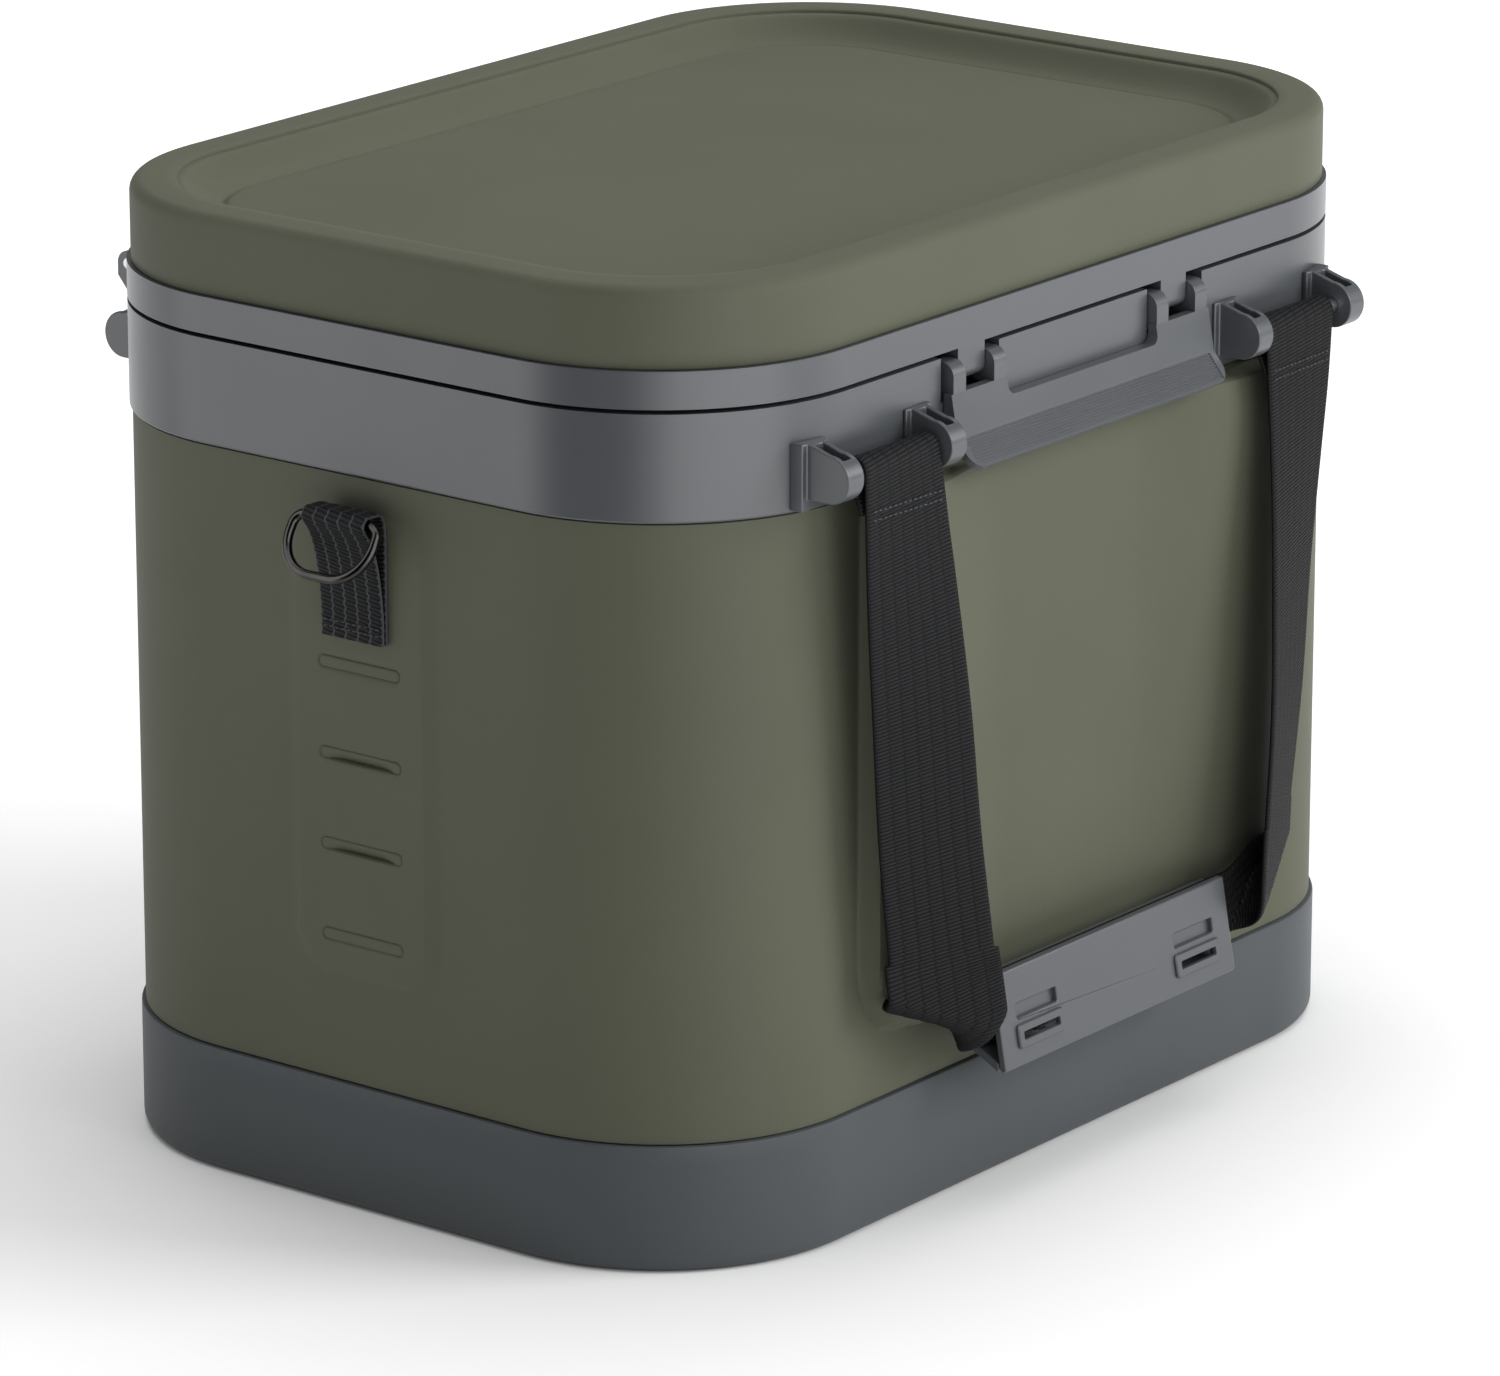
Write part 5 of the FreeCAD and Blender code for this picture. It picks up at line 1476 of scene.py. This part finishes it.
@dataclass
class Studio:
    """Pale floor whose glow is painted darker round the chest and dimmed into a painted contact shadow, soft
    lights and the camera.
    """

    place: tuple[float, float, float] = (-2.0633, -1.6047, 0.9276)
    target: tuple[float, float, float] = (-0.05834, -0.05001, 0.1523)
    lens: float = 197.23
    air: float = 0.22
    # Floor glow runs from 0.22 near the chest to 0.6 far off, over glow_reach metres, which paints shade
    # round the chest; contact_shade is the reach of the ambient occlusion that dims it into a painted contact
    # shadow.
    floor_glow: tuple[float, float] = (0.22, 0.6)
    glow_reach: tuple[float, float] = (0.3, 1.6)
    contact_shade: float = 0.16

    # Name, place, aim and size in metres, and watts.
    LIGHTS: ClassVar[tuple[tuple, ...]] = (
        ("overhead", (0.3, 0.2, 2.4), (0, 0, 0.2), (2.6, 2.6), 38),
        ("key_right", (1.5, -2.2, 1.3), (0, 0, 0.15), (1.4, 1.6), 50),
        ("front_soft", (-0.2, -2.6, 1.2), (0, 0, 0.15), (1.6, 1.4), 11))
    # Name, both feet in metres, and brightness.
    CARDS: ClassVar[tuple[tuple, ...]] = (
        ("rear_left_card", (-0.62, 0.16), (-0.62, 0.80), 2.2),
        ("left_flag", (-0.66, -0.36), (-0.66, 0.10), 0.02),
        ("front_left_card", (-0.55, -0.42), (-0.02, -0.72), 3.0))

    def light(self, name: str, place: Sequence[float], aim: Sequence[float], size: tuple[float, float],
              power: float) -> None:
        """Add a rectangular soft light.

        Args:
            name: Light name.
            place: Where it stands, in metres.
            aim: Where it points.
            size: Width and height in metres.
            power: Watts.
        """
        data = bpy.data.lights.new(name, "AREA")
        data.shape = "RECTANGLE"
        data.size, data.size_y = size
        data.energy = power
        lamp = bpy.data.objects.new(name, data)
        bpy.context.scene.collection.objects.link(lamp)
        lamp.location = place
        lamp.rotation_euler = (Vector(aim) - Vector(place)).to_track_quat("-Z", "Y").to_euler()

    def card(self, name: str, start: tuple[float, float], end: tuple[float, float], glow: float) -> None:
        """Stand up a card that shows only as a reflection in the satin mouldings.

        Args:
            name: Card name.
            start: One foot of the card on the floor, in metres.
            end: The other foot.
            glow: Brightness of the card.
        """
        (ax, ay), (bx, by) = start, end
        mesh = bpy.data.meshes.new(name)
        mesh.from_pydata([(ax, ay, 0.005), (bx, by, 0.005), (bx, by, 1.1), (ax, ay, 1.1)], [], [(0, 1, 2, 3)])
        paper = bpy.data.materials.new(name)
        paper.use_nodes = True
        paper.node_tree.nodes.clear()
        shine = add(paper.node_tree, "ShaderNodeEmission", {"Strength": glow})
        add(paper.node_tree, "ShaderNodeOutputMaterial", {"Surface": shine.outputs[0]})
        mesh.materials.append(paper)
        board = bpy.data.objects.new(name, mesh)
        bpy.context.scene.collection.objects.link(board)
        board.visible_camera = False
        board.visible_diffuse = False
        board.visible_shadow = False
        board.visible_transmission = False

    def build(self) -> None:
        """Add the floor with its painted shade and painted contact shadow, lights, world and camera."""
        mesh = bpy.data.meshes.new("studio_floor")
        mesh.from_pydata([(-9, -9, 0), (9, -9, 0), (9, 9, 0), (-9, 9, 0)], [], [(0, 1, 2, 3)])
        paint = bpy.data.materials.new("matt_white_paint")
        paint.use_nodes = True
        shader = paint.node_tree.nodes["Principled BSDF"]
        shader.inputs["Base Color"].default_value = (0.93, 0.93, 0.93, 1)
        shader.inputs["Roughness"].default_value = 0.9
        shader.inputs["Specular IOR Level"].default_value = 0.0
        shader.inputs["Emission Color"].default_value = (1, 1, 1, 1)
        tree = paint.node_tree
        # The floor's glow grows with distance from the middle, so the floor is painted darker round the
        # chest.
        place = add(tree, "ShaderNodeTexCoord").outputs["Object"]
        away = add(tree, "ShaderNodeVectorMath", {0: place}, operation="LENGTH").outputs["Value"]
        limits = dict(zip(("From Min", "From Max", "To Min", "To Max"), self.glow_reach + self.floor_glow))
        glow = add(tree, "ShaderNodeMapRange", {"Value": away, **limits}).outputs["Result"]
        # Painted contact shadow: ambient occlusion dims the glow where the floor meets the chest.
        painted_contact_shadow = add(tree, "ShaderNodeAmbientOcclusion", {"Distance": self.contact_shade}).outputs["AO"]
        soft = add(tree, "ShaderNodeMath", {0: glow, 1: painted_contact_shadow}, operation="MULTIPLY").outputs[0]
        tree.links.new(soft, shader.inputs["Emission Strength"])
        mesh.materials.append(paint)
        floor = bpy.data.objects.new("studio_floor", mesh)
        bpy.context.scene.collection.objects.link(floor)
        world = bpy.data.worlds.new("studio_air")
        world.use_nodes = True
        sky = world.node_tree.nodes["Background"]
        sky.inputs["Color"].default_value = (1, 1, 1, 1)
        sky.inputs["Strength"].default_value = self.air
        bpy.context.scene.world = world
        for lamp in self.LIGHTS:
            self.light(*lamp)
        for board in self.CARDS:
            self.card(*board)
        bpy.context.scene.view_settings.view_transform = "Standard"
        data = bpy.data.cameras.new("camera")
        data.lens = self.lens
        data.sensor_width = 36.0
        data.clip_end = 100
        camera = bpy.data.objects.new("camera", data)
        bpy.context.scene.collection.objects.link(camera)
        camera.location = self.place
        camera.rotation_euler = (Vector(self.target) - Vector(self.place)).to_track_quat("-Z", "Y").to_euler()
        bpy.context.scene.camera = camera


def main() -> None:
    """Build every sub-assembly in order."""
    logging.basicConfig(level=logging.INFO, format="%(name)s: %(message)s")
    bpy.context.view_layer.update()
    Studio().build()
    dress_plain_nodes()
    BodySkin().build()
    Boot().build()
    LinerTub().build()
    LidSkin().build()
    LidSeal().build()
    Mouldings().build()
    GripSnaps().build()
    Screws("lid_clamp_screws", "lid_screws", "lid").build()
    Screws("tub_clamp_screws", "clamp_screws", "tub").build()
    HandleStrap("front_strap_webbing", "front_handle", "front_strap", -1).build()
    HandleStrap("rear_strap_webbing", "rear_handle", "rear_strap", 1).build()
    for side in (-1, 1):
        RingTab(side).build()


if __name__ == "__main__":
    main()
